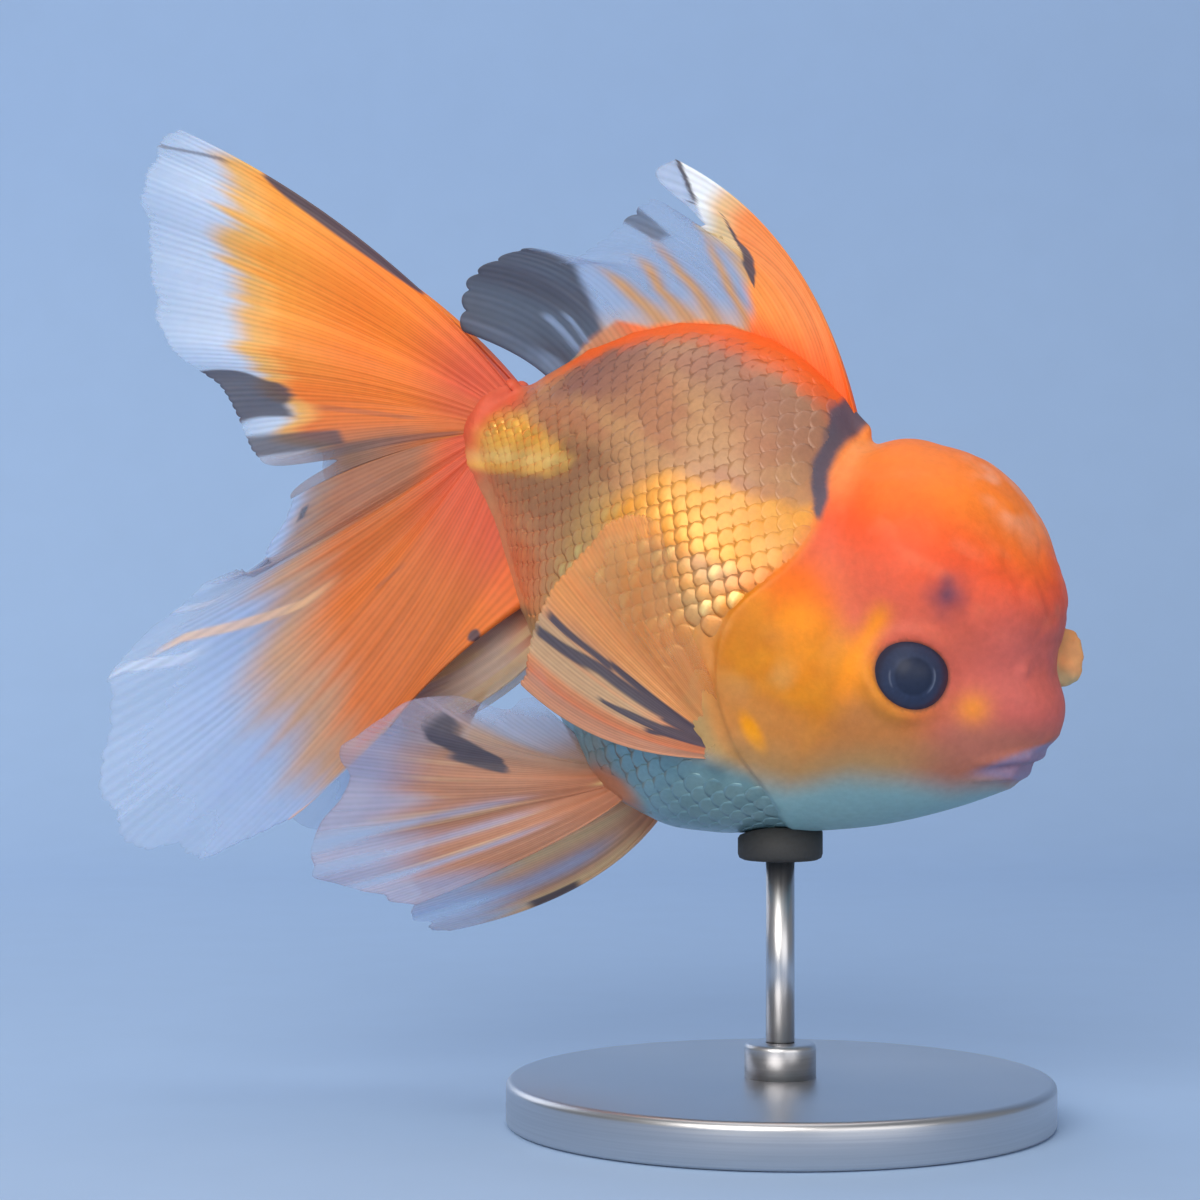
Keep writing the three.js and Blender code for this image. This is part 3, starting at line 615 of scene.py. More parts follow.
def trunk_colour(p):
    x, y, z = p.T
    share = height_share(x, z)
    patches = noise(p, 9, 1)
    fine = noise(p, 2.4, 2)
    streaks = noise(p * (0.35, 0.6, 1), 2.2, 3)
    mauve = ramp(0.42, 0.6, share) * ramp(26, 12, x) * ramp(4, 9, x)
    flank = ramp(0.28, 0.02, share + 0.14 * (patches - 0.5))
    band = below_band(x, z) + 1.6 * (fine - 0.5)
    left_end = x - 28.5 - 0.5 * np.maximum(z - 3, 0)
    gold = plateau(band, -1.8, 1, 9, 12.5) * ramp(-2.5, 2.5, left_end)
    shine = plateau(band, 9, 14, 22, 30) * ramp(30, 37, x)
    behind = ramp(28, 20, x) * ramp(3, -3, z - 0.46 * x) * ramp(-24, -16, z)
    beads = z + 1.4 - 0.46 * (x - 4.8)                       # height over the line of bright beads
    reach = beads + 0.5 * np.maximum(x - 5, 0) + 3.5 * (noise(p, 3, 5) - 0.5)
    tail_gold = ramp(19, 15, x + 4 * (fine - 0.5)) * ramp(-3.2, -1.2, beads) * ramp(9, 6.5, reach)
    under = ramp(2.4, -2.4, z - np.interp(x, *zip(*BELLY_LINE)) + 2 * (patches - 0.5))
    beside_gill = ramp(-6, -1, ahead_of_edge(x, z)) * plateau(z, -22, -17, 4, 14)
    ridge_half = np.interp(x, *zip(*RIDGE_HALF_WIDTH))
    ridge = ramp(2.2, -1.6, np.abs(y) + 2 * (fine - 0.5) - ridge_half) * ramp(0.45, 0.62, share)
    root = ramp(5.5, -1, x + 2.2 * (fine - 0.5) + 3 * tail_gold)
    pelvic = np.sqrt((x - 47) ** 2 + (np.abs(y) - 8) ** 2 + (z + 35) ** 2)
    vent = np.sqrt((x - 20) ** 2 + (z + 20) ** 2 + (np.abs(y) - 2) ** 2)
    return painted(
        mix(BACK_BROWN, BACK_TAN, ramp(0.35, 0.75, 0.5 * patches + 0.5 * streaks)),
        (MAUVE, 0.9 * mauve),
        (MAUVE, 0.55 * ramp(0.62, 0.82, share) * ramp(16, 30, x)),
        (OLIVE, flank * 0.85),
        (mix(GOLD, GOLD_PALE, 0.2 * fine), gold * 0.92),
        (GOLD, 0.42 * shine * ramp(0.45, 0.8, noise(p, 3.1, 4))),
        (mix(SHADOW_BROWN, SHADOW_TAN, ramp(0, -14, z)), 0.9 * behind),
        (mix(PEDUNCLE_GOLD, GOLD_PALE, 0.35 * fine), tail_gold * 0.95),
        (GOLD_PALE, 0.5 * tail_gold * bell(beads, 0.4, 1.4)),
        (mix(TEAL, TEAL_DARK, fine), under),
        (GILL_SIDE, 0.55 * beside_gill),
        (RIDGE, 0.9 * ridge * ramp(2, 7, x)),
        (TAIL_CORAL, root),
        (PEACH, ramp(7, 3.5, pelvic)),
        (PEACH, 0.6 * ramp(6, 3, vent)),
    )


# Half of the throat's colour is teal on this line of (x, z).
THROAT_LINE = [(60, -22), (72, -18.5), (79, -13.2), (86, -9.6), (92, -7.8), (97, -4.5)]


def head_colour(p):
    x, y, z = p.T
    patches = noise(p, 8, 21)
    fine = noise(p, 1.9, 22)
    veins = noise(p * (0.5, 1, 1.4), 3, 23)
    top = ramp(19, 31, z + 0.15 * (70 - x) + 5 * (patches - 0.5))
    cheekward = ramp(21, 7, z - 0.1 * (x - 60) + 3 * (patches - 0.5))
    front = ramp(80, 93, x + 0.12 * (z - 10)) * ramp(27, 15, z)
    top_highlight = ramp(32.4, 35.6, z + 0.5 * (x - 70)) * plateau(x, 62, 68, 78, 88)
    rear_rim = ramp(6, 0.5, ahead_of_edge(x, z)) * ramp(17, 24, z)
    amber = ramp(9.5, 3.5, z + 0.22 * (x - 66) + 3 * (patches - 0.5)) * ramp(90, 79, x)
    olive = ramp(0.5, 0.8, noise(p, 5, 24)) * bell(x, 64, 7) * bell(z, -8, 7)
    arc = x - 72.4 - 0.055 * np.maximum(3 - z, 0) ** 2       # the bright line behind the eye
    shade_below_eye = ramp(1, -5, z + 0.1 * (x - 80)) * ramp(71, 77, x)
    streak = np.hypot((x - 64.6) * 0.78 - (z + 14.9) * 0.62, ((x - 64.6) * 0.62 + (z + 14.9) * 0.78) * 2.4)
    below = z - np.interp(x, *zip(*THROAT_LINE)) + 1.6 * (patches - 0.5)
    smudge = bell(np.hypot((x - 79.2) * 1.2, z - 16.9) + 1.5 * (fine - 0.5), 0, 2.8)
    return painted(
        mix(HOOD_RED, HOOD_ORANGE, top),
        (HOOD_PINK, 0.85 * cheekward),
        (SNOUT, 0.9 * front),
        # painted highlight: mottled wet shine along the top and front of the hood
        (HOOD_HIGHLIGHT_AND_VEINS, 0.7 * top_highlight * ramp(0.3, 0.7, 0.55 * veins + 0.45 * fine)),
        (HOOD_HIGHLIGHT_AND_VEINS, 0.1 * ramp(0.6, 0.9, veins) * ramp(12, 20, z)),
        (HOOD_REAR, 0.5 * rear_rim),
        (mix(AMBER, GILL_GOLD, fine), amber),
        (GILL_TOP, 0.9 * bell(x, 60, 7) * bell(z, 7.5, 4.5)),
        (BRIGHT_ORANGE, 0.85 * bell(x, 63, 3.4) * bell(z, 3.2, 3.2)),
        (BRIGHT_ORANGE, 0.5 * bell(x, 66, 3) * bell(z, -3, 3.5)),
        (OLIVE, 0.45 * olive),
        (BRIGHT_ORANGE, 0.85 * bell(arc, 0, 1.7) * plateau(z, -6, -2, 8.5, 13)),
        (BRIGHT_ORANGE, bell(np.hypot(x - 74.5, z + 2.8), 0, 1.9)),
        # painted shade: the head darker below the eye
        (UNDER_EYE_SHADE, 0.85 * shade_below_eye),
        (JAW, 0.85 * ramp(83, 91, x) * ramp(5, -1, z - 0.35 * (x - 90))),
        (CUSHION_SPOT, 0.9 * bell(np.hypot(x - 89.6, z - 3.8), 0, 2.3)),
        (GILL_DULL, 0.6 * ramp(-6, -12, z) * ramp(80, 70, x)),
        (GILL_STREAK, ramp(4.6, 1.2, streak)),
        (THROAT_OLIVE, 0.7 * ramp(7.5, 0.5, below) * ramp(92, 82, x)),
        (THROAT_TEAL, ramp(2.4, -4.6, below)),
        (SMUDGE, ramp(0, -4, y) * smudge),
    )


def face_parts_colour(p, colour):
    """Lips, with painted shade in the crease between them, nostril flaps, and painted shade on the rims of
    the eye sockets.
    """
    x, y, z = p.T
    tilt = math.radians(MOUTH_TILT)
    up = (z - MOUTH_CENTRE[1]) * math.cos(tilt) - (x - MOUTH_CENTRE[0]) * math.sin(tilt)
    pad = np.hypot(y / 9.3, (up - MOUTH_LINE) / 2.7)
    pad = ramp(1.1, 0.82, pad) * ramp(90, 92.5, x)
    lips = mix(LIP, LIP_PINK, 0.7 * bell(up, MOUTH_LINE - 0.2, 1.2) * ramp(9, 6, np.abs(y)))
    colour = mix(colour, lips, 0.88 * pad)
    # painted shade in the crease between the lips
    colour = mix(colour, MOUTH_CREASE_SHADE, 0.22 * bell(up, MOUTH_LINE, 0.3) * ramp(8.6, 7.0, np.abs(y)) * pad)
    for (centre, radii, pitch), strength in ((FLAP_RIGHT, 0), (FLAP_LEFT, 1)):
        near = ellipsoid(x, y, z, centre, radii, pitch)
        tint = mix(FLAP_GREY, FLAP_PEACH, ramp(centre[2] - 2.6, centre[2] - 0.4, z))
        colour = mix(colour, tint, strength * ramp(0.9, 0.1, near))
    ball = np.sqrt((x - EYE_AT[0]) ** 2 + (np.abs(y) - EYE_AT[1]) ** 2 + (z - EYE_AT[2]) ** 2)
    # painted shade round the eye, where the skin meets the eyeball
    return mix(colour, SOCKET_SHADE, 0.8 * ramp(EYE_RADIUS + 0.45, EYE_RADIUS - 0.2, ball))


NAPE_Z = [17, 20, 21.5, 23, 26, 28, 31]      # how far the hood reaches back over its edge, up the nape
NAPE_FRONT = [0, 0.1, 1.0, 1.6, 1.8, 1.5, 0.4]


def skin_colour(p):
    """The fish's markings at points on its skin, with painted shade and painted highlights among them. The
    scales use the same function.
    """
    x, _, z = p.T
    ahead = ahead_of_edge(x, z)
    ragged = 3.2 * (noise(p, 3, 41) - 0.5)
    bulge = np.interp(z, NAPE_Z, NAPE_FRONT)
    colour = mix(trunk_colour(p), head_colour(p), ramp(-2.5, 1.5, ahead + bulge + ragged * ramp(14, 6, z)))
    width = np.interp(z, [16.5, 17.6, 19, 20.5, 22.5, 26, 30], [0, 1.2, 1.8, 3.0, 3.8, 3.8, 4.4])
    nape = ramp(-0.6, 0.4, ahead + width + 0.35 * ragged)
    nape = nape * ramp(0.9, -0.3, ahead + bulge) * ramp(16.2, 17.4, z)
    return mix(colour, NAPE_BLACK, 0.95 * nape)


def skin_shine(p):
    """How much of the mirror-like layer shows: most on the golden scales, none on the hood."""
    x, _, z = p.T
    share = height_share(x, z)
    trunk = ramp(1, -1, ahead_of_edge(x, z))
    gold = ramp(0.5, 0.1, share) * (0.55 + 0.45 * ramp(0.4, 0.8, noise(p, 4, 51)))
    cheek = 0.35 * plateau(z, -14, -8, 2, 8) * ramp(82, 74, x)
    return np.clip(trunk * gold * 0.8 + (1 - trunk) * cheek + 0.12 * trunk, 0, 1)


# ---- materials
class Shader:
    """A node material built up one node at a time."""

    def __init__(self, name):
        self.material = bpy.data.materials.new(name)
        self.material.use_nodes = True
        self.nodes = self.material.node_tree.nodes
        self.links = self.material.node_tree.links
        self.surface = self.nodes["Principled BSDF"]

    def add(self, kind, inputs=(), **settings):
        node = self.nodes.new("ShaderNode" + kind)
        for key, value in settings.items():
            setattr(node, key, value)
        for socket, value in dict(inputs).items():
            self.put(node, socket, value)
        return node

    def put(self, node, socket, value):
        if isinstance(value, bpy.types.NodeSocket):
            self.links.new(value, node.inputs[socket])
        else:
            node.inputs[socket].default_value = value

    def set(self, **values):
        for name, value in values.items():
            self.put(self.surface, name.replace("_", " "), value)

    def attribute(self, name):
        return self.add("Attribute", attribute_name=name)

    def math(self, operation, a, b=0.0, c=0.0):
        return self.add("Math", {0: a, 1: b, 2: c}, operation=operation).outputs[0]

    def scaled(self, value, low, high):
        """A 0 to 1 value spread over another range."""
        return self.add("MapRange", {0: value, 3: low, 4: high}).outputs[0]

    def noise(self, scale, detail=3.0, roughness=0.5):
        where = self.add("TexCoord").outputs["Object"]
        inputs = {"Vector": where, "Scale": scale, "Detail": detail, "Roughness": roughness}
        return self.add("TexNoise", inputs).outputs[0]

    def tint(self, colour, value, low, high):
        """The colour made darker or lighter as the value goes from 0 to 1."""
        grey = self.scaled(value, low, high)
        merged = self.add("CombineXYZ", {0: grey, 1: grey, 2: grey}).outputs[0]
        return self.add("VectorMath", {0: colour, 1: merged}, operation="MULTIPLY").outputs[0]

    def bump(self, height, strength, distance):
        inputs = {"Height": height, "Strength": strength, "Distance": distance}
        node = self.add("Bump", inputs)
        self.links.new(node.outputs[0], self.surface.inputs["Normal"])


def flesh_material():
    """Wet skin: the painted colours with fine mottling, pores and a clear slime coat."""
    m = Shader("flesh")
    colour = m.attribute("paint").outputs["Color"]
    mottle = m.noise(900, 4)
    m.set(Base_Color=m.tint(colour, mottle, 0.86, 1.14))
    shine = m.attribute("shine").outputs["Fac"]
    m.set(Roughness=m.math("SUBTRACT", m.scaled(m.noise(500, 2), 0.48, 0.62), m.math("MULTIPLY", shine, 0.3)))
    m.set(Metallic=m.math("MULTIPLY", shine, 0.3))
    m.set(Subsurface_Weight=0.16, Subsurface_Scale=0.0016, Subsurface_Radius=(1.0, 0.35, 0.2))
    m.set(Coat_Weight=0.06, Coat_Roughness=0.25, Specular_IOR_Level=0.25)
    m.bump(m.noise(2200, 4), 0.3, 0.00012)
    return m.material


def scale_material():
    """Scales: the same colours, with a mirror-like layer where they shine and fine growth rings."""
    m = Shader("scales")
    colour = m.attribute("paint").outputs["Color"]
    m.set(Base_Color=m.tint(colour, m.noise(1400, 3), 0.84, 1.16))
    shine = m.attribute("shine").outputs["Fac"]
    m.set(Metallic=m.math("MULTIPLY", shine, 0.55))
    m.set(Roughness=m.scaled(shine, 0.46, 0.27))
    m.set(Subsurface_Weight=0.08, Subsurface_Scale=0.001, Subsurface_Radius=(1.0, 0.4, 0.25))
    m.set(Coat_Weight=0.2, Coat_Roughness=0.18)
    m.bump(m.noise(3600, 2), 0.3, 0.00008)
    return m.material


def fin_material():
    """Fin membrane: painted colour and see-through margins, with fine rays and a wet surface."""
    m = Shader("fin_membrane")
    paint = m.attribute("paint")
    where = m.add("UVMap", uv_map="rays").outputs[0]
    split = m.add("SeparateXYZ", {0: where})
    wave = m.math("SINE", m.math("MULTIPLY", split.outputs[0], 2 * math.pi * 60))
    fine = m.math("MULTIPLY_ADD", wave, 0.5, 0.5)
    wobble = m.math("ADD", fine, m.noise(700, 3))
    m.set(Base_Color=m.tint(paint.outputs["Color"], m.math("MULTIPLY", wobble, 0.5), 0.88, 1.12))
    clear = m.attribute("clear").outputs["Fac"]
    m.set(Alpha=m.math("MULTIPLY", clear, m.scaled(wobble, 0.95, 1.04)))
    m.set(Roughness=m.scaled(m.noise(300, 2), 0.46, 0.6))
    m.set(Subsurface_Weight=0.25, Subsurface_Scale=0.0012, Subsurface_Radius=(1.0, 0.5, 0.3))
    m.set(Specular_IOR_Level=0.3)
    m.bump(fine, 0.2, 0.00008)
    return m.material


def eye_material():
    """Dark iris and pupil under a clear, wet cornea."""
    m = Shader("eye")
    m.set(Base_Color=m.tint(m.attribute("paint").outputs["Color"], m.noise(1600, 3), 0.85, 1.15))
    m.set(Roughness=m.scaled(m.noise(800, 2), 0.45, 0.55))
    m.set(Coat_Weight=0.14, Coat_Roughness=0.3, Specular_IOR_Level=0.18)
    return m.material


def steel_material(name, along):
    """Brushed steel, its fine lines turned round the part or along it."""
    m = Shader(name)
    where = m.add("TexCoord").outputs["Object"]
    stretched = m.add("Mapping", {"Vector": where, "Scale": along})
    inputs = {"Vector": stretched.outputs[0], "Scale": 1.0, "Detail": 4.0}
    lines = m.add("TexNoise", inputs).outputs[0]
    grey = m.scaled(lines, 0.5, 0.68)
    m.set(Base_Color=m.add("CombineColor", {0: grey, 1: grey, 2: m.math("MULTIPLY", grey, 1.03)}).outputs[0])
    m.set(Metallic=1.0, Roughness=m.scaled(lines, 0.26, 0.42))
    m.bump(lines, 0.12, 0.00005)
    return m.material


def rubber_material():
    m = Shader("rubber")
    grain = m.noise(2200, 3)
    grey = m.scaled(grain, 0.02, 0.045)
    m.set(Base_Color=m.add("CombineColor", {0: grey, 1: grey, 2: grey}).outputs[0])
    m.set(Roughness=m.scaled(grain, 0.6, 0.8))
    m.bump(grain, 0.4, 0.0001)
    return m.material


# ---- meshes
def mesh_object(name, points, faces, material, attributes=(), colours=(), in_fish=True):
    """A piece from points (millimetres, in the fish's frame or the model's) and faces of one size."""
    places = to_row(points) if in_fish else np.asarray(points) * MM
    faces = np.asarray(faces, np.int32)
    size = faces.shape[1]
    mesh = bpy.data.meshes.new(name)
    mesh.vertices.add(len(places))
    mesh.vertices.foreach_set("co", places.astype(np.float32).ravel())
    mesh.loops.add(faces.size)
    mesh.loops.foreach_set("vertex_index", faces.ravel())
    mesh.polygons.add(len(faces))
    mesh.polygons.foreach_set("loop_start", np.arange(0, faces.size, size, dtype=np.int32))
    mesh.update(calc_edges=True)
    mesh.validate()
    mesh.shade_smooth()
    for label, values in dict(colours).items():
        layer = mesh.color_attributes.new(label, "FLOAT_COLOR", "POINT")
        rgba = np.concatenate([values, np.ones((len(values), 1))], 1)
        layer.data.foreach_set("color", rgba.astype(np.float32).ravel())
    for label, values in dict(attributes).items():
        layer = mesh.attributes.new(label, "FLOAT", "POINT")
        layer.data.foreach_set("value", np.asarray(values, np.float32))
    mesh.materials.append(material)
    piece = bpy.data.objects.new(name, mesh)
    bpy.context.scene.collection.objects.link(piece)
    return piece


def sheet_faces(grid):
    """Four-sided faces between neighbours in a grid of vertex numbers."""
    return np.stack([grid[:-1, :-1], grid[1:, :-1], grid[1:, 1:], grid[:-1, 1:]], -1).reshape(-1, 4)


def ring_faces(grid):
    """The same for a grid that closes on itself round its second axis."""
    return sheet_faces(np.concatenate([grid, grid[:, :1]], 1))


def flipped(faces):
    """The same four-sided faces, facing the other way."""
    return faces[:, [0, 3, 2, 1]]


def closed_sheet(grid, count):
    """The faces of a thin solid: a sheet, its underside (numbered on by count) and its rim."""
    top = sheet_faces(grid)
    rim = np.concatenate([grid[0, :-1], grid[:-1, -1], grid[-1, :0:-1], grid[:0:-1, 0]])
    after = np.roll(rim, -1)
    walls = np.stack([rim, after, after + count, rim + count], 1)
    return np.concatenate([top, top[:, ::-1] + count, walls]), len(walls)


def add_uv(piece, label, values):
    """A UV map from one (u, v) for each vertex."""
    mesh = piece.data
    corner = np.empty(len(mesh.loops), np.int32)
    mesh.loops.foreach_get("vertex_index", corner)
    layer = mesh.uv_layers.new(name=label)
    layer.data.foreach_set("uv", np.asarray(values, np.float32)[corner].ravel())


def surface_net(values, axes):
    """The zero level of a field on a grid, as points and four-sided faces."""
    inside = values < 0
    cells = tuple(n - 1 for n in values.shape)
    corners = np.zeros(cells, np.int8)
    for i, j, k in np.ndindex(2, 2, 2):
        corners += inside[i:cells[0] + i, j:cells[1] + j, k:cells[2] + k]
    used = np.argwhere((corners > 0) & (corners < 8))
    index = np.full(cells, -1)
    index[tuple(used.T)] = np.arange(len(used))
    total = np.zeros((len(used), 3))
    count = np.zeros(len(used))
    for axis in range(3):
        others = [a for a in range(3) if a != axis]
        for da, db in np.ndindex(2, 2):
            start = used.copy()
            start[:, others[0]] += da
            start[:, others[1]] += db
            end = start.copy()
            end[:, axis] += 1
            a = values[tuple(start.T)]
            b = values[tuple(end.T)]
            crossed = (a < 0) != (b < 0)
            share = np.where(crossed, a / np.where(crossed, a - b, 1), 0)
            place = np.stack([axes[q][start[:, q]] for q in range(3)], 1)
            place[:, axis] += share * (axes[axis][end[:, axis]] - axes[axis][start[:, axis]])
            total[crossed] += place[crossed]
            count[crossed] += 1
    points = total / count[:, None]
    faces = []
    for axis in range(3):
        o1, o2 = (axis + 1) % 3, (axis + 2) % 3
        here = [slice(1, -1)] * 3
        there = [slice(1, -1)] * 3
        here[axis] = slice(0, -1)
        there[axis] = slice(1, None)
        a, b = inside[tuple(here)], inside[tuple(there)]
        for flipped, crossed in ((False, a & ~b), (True, ~a & b)):
            edge = np.argwhere(crossed) + np.where(np.arange(3) == axis, 0, 1)
            ring = []
            for da, db in ((0, 0), (1, 0), (1, 1), (0, 1)):
                cell = edge.copy()
                cell[:, o1] -= 1 - da
                cell[:, o2] -= 1 - db
                ring.append(index[tuple(cell.T)])
            ring = np.stack(ring, 1)
            faces.append(ring[:, ::-1] if flipped else ring)
    return points, np.concatenate(faces)


# ---- skin
def add_skin():
    axes = [np.arange(low, high, SKIN_GRID) for low, high in SKIN_BOX]
    grid = np.stack(np.meshgrid(*axes, indexing="ij"), -1).reshape(-1, 3)
    rough = body(*grid.T)
    close = np.abs(rough) < SKIN_REACH
    values = np.where(rough > 0, SKIN_REACH, -SKIN_REACH)
    values[close] = skin(*grid[close].T)
    points, faces = surface_net(values.reshape([len(a) for a in axes]), axes)
    points, normals = settle(skin, points, 0, 3)
    points = points - lobules(points)[:, None] * normals
    colour = face_parts_colour(points, skin_colour(points))
    # painted shade: the skin darkened in the grooves between the hood's soft growths
    grooves = np.clip(lobules(points), 0, 0.5) * 0.5
    colour = colour * (1 - grooves[:, None])
    piece = mesh_object("skin", points, faces, FLESH, {"shine": skin_shine(points)}, {"paint": colour})
    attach(piece, "root")
    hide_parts("caudal_peduncle", "trunk", "head", "hood", "gill_cover_right", "gill_cover_left",
                "upper_lip", "lower_lip", "nostril_flap_right", "nostril_flap_left")


# ---- scales
SCALE_ROWS = [(4, 20), (9, 26), (16, 30), (25, 36), (36, 42), (80, 44)]  # up to x: scales around
SCALE_ACROSS = 7
SCALE_ALONG = 7
FAINTEST = 0.08             # how clearly the faintest scales show, of 1
FLAT_BELOW = 0.6            # scales fainter than this have flat-shaded edges
RIM_HIGHLIGHT_GOLD = np.array([1.0, 0.9, 0.66])


def scale_columns():
    """Where each ring of scales stands along the body, and how long its scales are."""
    columns = []
    x = 0.2
    while x < 74:
        length = np.interp(x, [0, 10, 25, 45, 74], [1.9, 2.2, 2.7, 3.0, 2.8])
        columns.append((x, length))
        x += length / 2
    return columns


def scale_roots():
    """The middle of each scale, its angle round the body and its size."""
    roots = []
    for column, (x, length) in enumerate(scale_columns()):
        around = next(n for until, n in SCALE_ROWS if x < until)
        turn = 2 * np.pi * (np.arange(around) + 0.5 * (column % 2)) / around
        centre = np.tile([x, 0, core_height(x)], (around, 1))
        way = np.stack([np.zeros(around), np.cos(turn), np.sin(turn)], 1)
        place = cast(centre, way, -COAT_DEPTH)
        girth = np.linalg.norm(place - np.roll(place, -1, 0), axis=1)
        for at, angle, width in zip(place, turn, (girth + np.roll(girth, 1)) / 2):
            roots.append((*at, angle, length, width))
    roots = np.array(roots)
    covered = ahead_of_edge(roots[:, 0], roots[:, 2]) < -0.2
    clear = np.ones(len(roots), bool)
    for path, radius, _ in FIN_ROOTS:
        d = rope(*roots[:, :3].T, path, [radius] * len(path), 0.8)
        clear &= d > (3.5 if path[0, 0] > 55 else 1.4)
    x, _, z = roots[:, :3].T
    bare = -5.5 - 3 * ramp(-8, -14, z)
    clear &= (ahead_of_edge(x, z) < bare) | (z > -5) | (z < -23)       # bare skin before the pectoral fin
    clear &= (ahead_of_edge(x, z) < -4.2) | (z < 17)                   # and on the nape
    return roots[covered & clear]


def scale_outline():
    """One scale's grid: u across it from -1 to 1, v from its root to its free edge, and its half width."""
    v, u = np.meshgrid(np.linspace(0, 1, SCALE_ALONG), np.linspace(-1, 1, SCALE_ACROSS), indexing="ij")
    taper = np.clip((v - 0.3) / 0.7, 0, 1) ** 2.3
    return u.ravel(), v.ravel(), (0.53 * np.sqrt(1 - 0.985 * taper)).ravel()


def behind_band(x, z):
    """1 in the smooth brown patch of painted shade behind the golden band."""
    return ramp(29, 22, x) * ramp(3, -3, z - 0.46 * x)


def scale_strength(x, z):
    """How clearly the scales show: 1 in the golden band, next to nothing on the back, belly and rear."""
    shown = ramp(0.5, 0.15, height_share(x, z)) * (1 - 0.88 * ramp(-20, -26, z))
    return FAINTEST + (1 - FAINTEST) * shown * (1 - 0.85 * behind_band(x, z))


def scale_height(x, y, z, u, v, bold):
    """How far each point of each scale's top stands off the skin."""
    beads = ramp(24, 15, x) * ramp(0.9, 0.5, height_share(x, z))
    crown = (1 - u ** 2) * np.sin(np.pi * np.clip(v, 0, 1)) - 0.5
    wobble = hashed(np.stack([x * 7, y * 7, z * 7], 1).round(), 61)[:, None] * 0.08
    return (SCALE_RELIEF * v - 0.06 + (0.16 + 0.22 * beads)[:, None] * crown + wobble * v) * bold[:, None]


def scale_paint(at, top, u, v, bold):
    """Colours and shine of all the points of all scales, with painted shade, painted highlights and painted
    glints.
    """
    x, y, z = at.T
    each = len(u)
    count = len(at)
    tone = hashed(np.stack([x * 5, y * 5, z * 5], 1).round(), 62)
    rim = np.tile(ramp(0.72, 0.97, v) * (1 - 0.6 * np.abs(u)), count)
    middle = np.tile((1 - u ** 2) * np.sin(np.pi * v), count)
    root = np.tile(ramp(0.55, 0.1, v) + 0.6 * ramp(0.6, 1, np.abs(u)), count)
    streak = np.tile(bell(v, 0.72, 0.16) * (1 - u ** 2), count)
    glint = np.repeat(ramp(0.55, 0.95, tone), each)
    golden = ramp(0.4, 0.05, height_share(x, z)) * ramp(-26, -22, z) * (1 - 0.85 * behind_band(x, z))
    golden = np.repeat(golden, each)
    flank = np.repeat(ramp(9, 13, below_band(x, z)), each)
    colour = 0.35 * np.repeat(skin_colour(at), each, 0) + 0.65 * skin_colour(top)
    # painted light and shade: each scale lighter over its middle, and darker at its root and sides where the
    # scales ahead overlap it
    dome_light_root_shade = (0.12 * middle - 0.17 * root) * np.repeat(bold, each)
    colour = colour * (0.95 + 0.08 * np.repeat(tone, each) + dome_light_root_shade)[:, None]
    pale = mix(colour, RIM_HIGHLIGHT_GOLD, np.full(len(colour), 0.5))
    dark = ramp(0.12, 0.05, colour.mean(1))
    colour = painted(
        colour,
        # painted highlight along each scale's free edge, strongest on the golden scales
        (pale, rim * (0.03 + 0.22 * golden) * (1 - dark)),
        # painted glints: pale streaks near the free edge of some golden scales
        (GOLD_PALE, (0.4 + 0.5 * flank) * golden * glint * streak),
    )
    return colour, np.clip(skin_shine(top) + 0.3 * golden * glint, 0, 1)


def add_scales():
    roots = scale_roots()
    at = roots[:, :3]
    x, y, z = at.T
    _, normal = settle(body, at, -COAT_DEPTH, 1)
    back_way = unit(np.array([-1.0, 0, 0]) + normal * normal[:, :1])
    across_way = np.cross(normal, back_way)
    u, v, half_width_share = scale_outline()
    along = (v * 1.25 - 0.6) * roots[:, 4][:, None]
    across = u * half_width_share * roots[:, 5][:, None]
    flat = at[:, None] + back_way[:, None] * along[..., None] + across_way[:, None] * across[..., None]
    each = len(u)
    bold = scale_strength(x, z)
    top, out = settle(body, flat.reshape(-1, 3), -COAT_DEPTH, 3)
    top = top + out * scale_height(x, y, z, u, v, bold).reshape(-1, 1)
    bottom = top - out * (SCALE_THICKNESS * (0.45 + 0.55 * np.repeat(bold, each)))[:, None]
    colour, shine = scale_paint(at, top, u, v, bold)
    one, walls = closed_sheet(np.arange(each).reshape(SCALE_ALONG, SCALE_ACROSS), each)
    patch = np.stack([u * 0.5, v - 0.5], 1) * BAKE_PATCH
    place = np.stack([(x + 12) / 120, (roots[:, 3] / (2 * np.pi)) % 1 * 0.98 + 0.01], 1)
    ahead = x > 27
    for name, chosen in (("scales_front_right", ahead & (y < 0)), ("scales_front_left", ahead & (y >= 0)),
                         ("scales_rear_right", ~ahead & (y < 0)), ("scales_rear_left", ~ahead & (y >= 0))):
        picked = np.flatnonzero(chosen)
        pick = (picked[:, None] * each + np.arange(each)).ravel()
        blocks = np.concatenate([top[pick].reshape(-1, each, 3), bottom[pick].reshape(-1, each, 3)], 1)
        paint = np.tile(colour[pick].reshape(-1, each, 3), (1, 2, 1)).reshape(-1, 3)
        gloss = np.tile(shine[pick].reshape(-1, each), (1, 2)).ravel()
        faces = (np.arange(len(picked))[:, None, None] * 2 * each + one[:, ::-1]).reshape(-1, 4)
        piece = mesh_object(name, blocks.reshape(-1, 3), faces, SCALES, {"shine": gloss}, {"paint": paint})
        rounded = np.ones((len(picked), len(one)), bool)
        rounded[bold[picked] < FLAT_BELOW, -walls:] = False
        piece.data.polygons.foreach_set("use_smooth", rounded.ravel())
        uv = place[picked][:, None] + np.tile(patch, (2, 1))
        add_uv(piece, "OFBake", uv.reshape(-1, 2))
        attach(piece, "root")


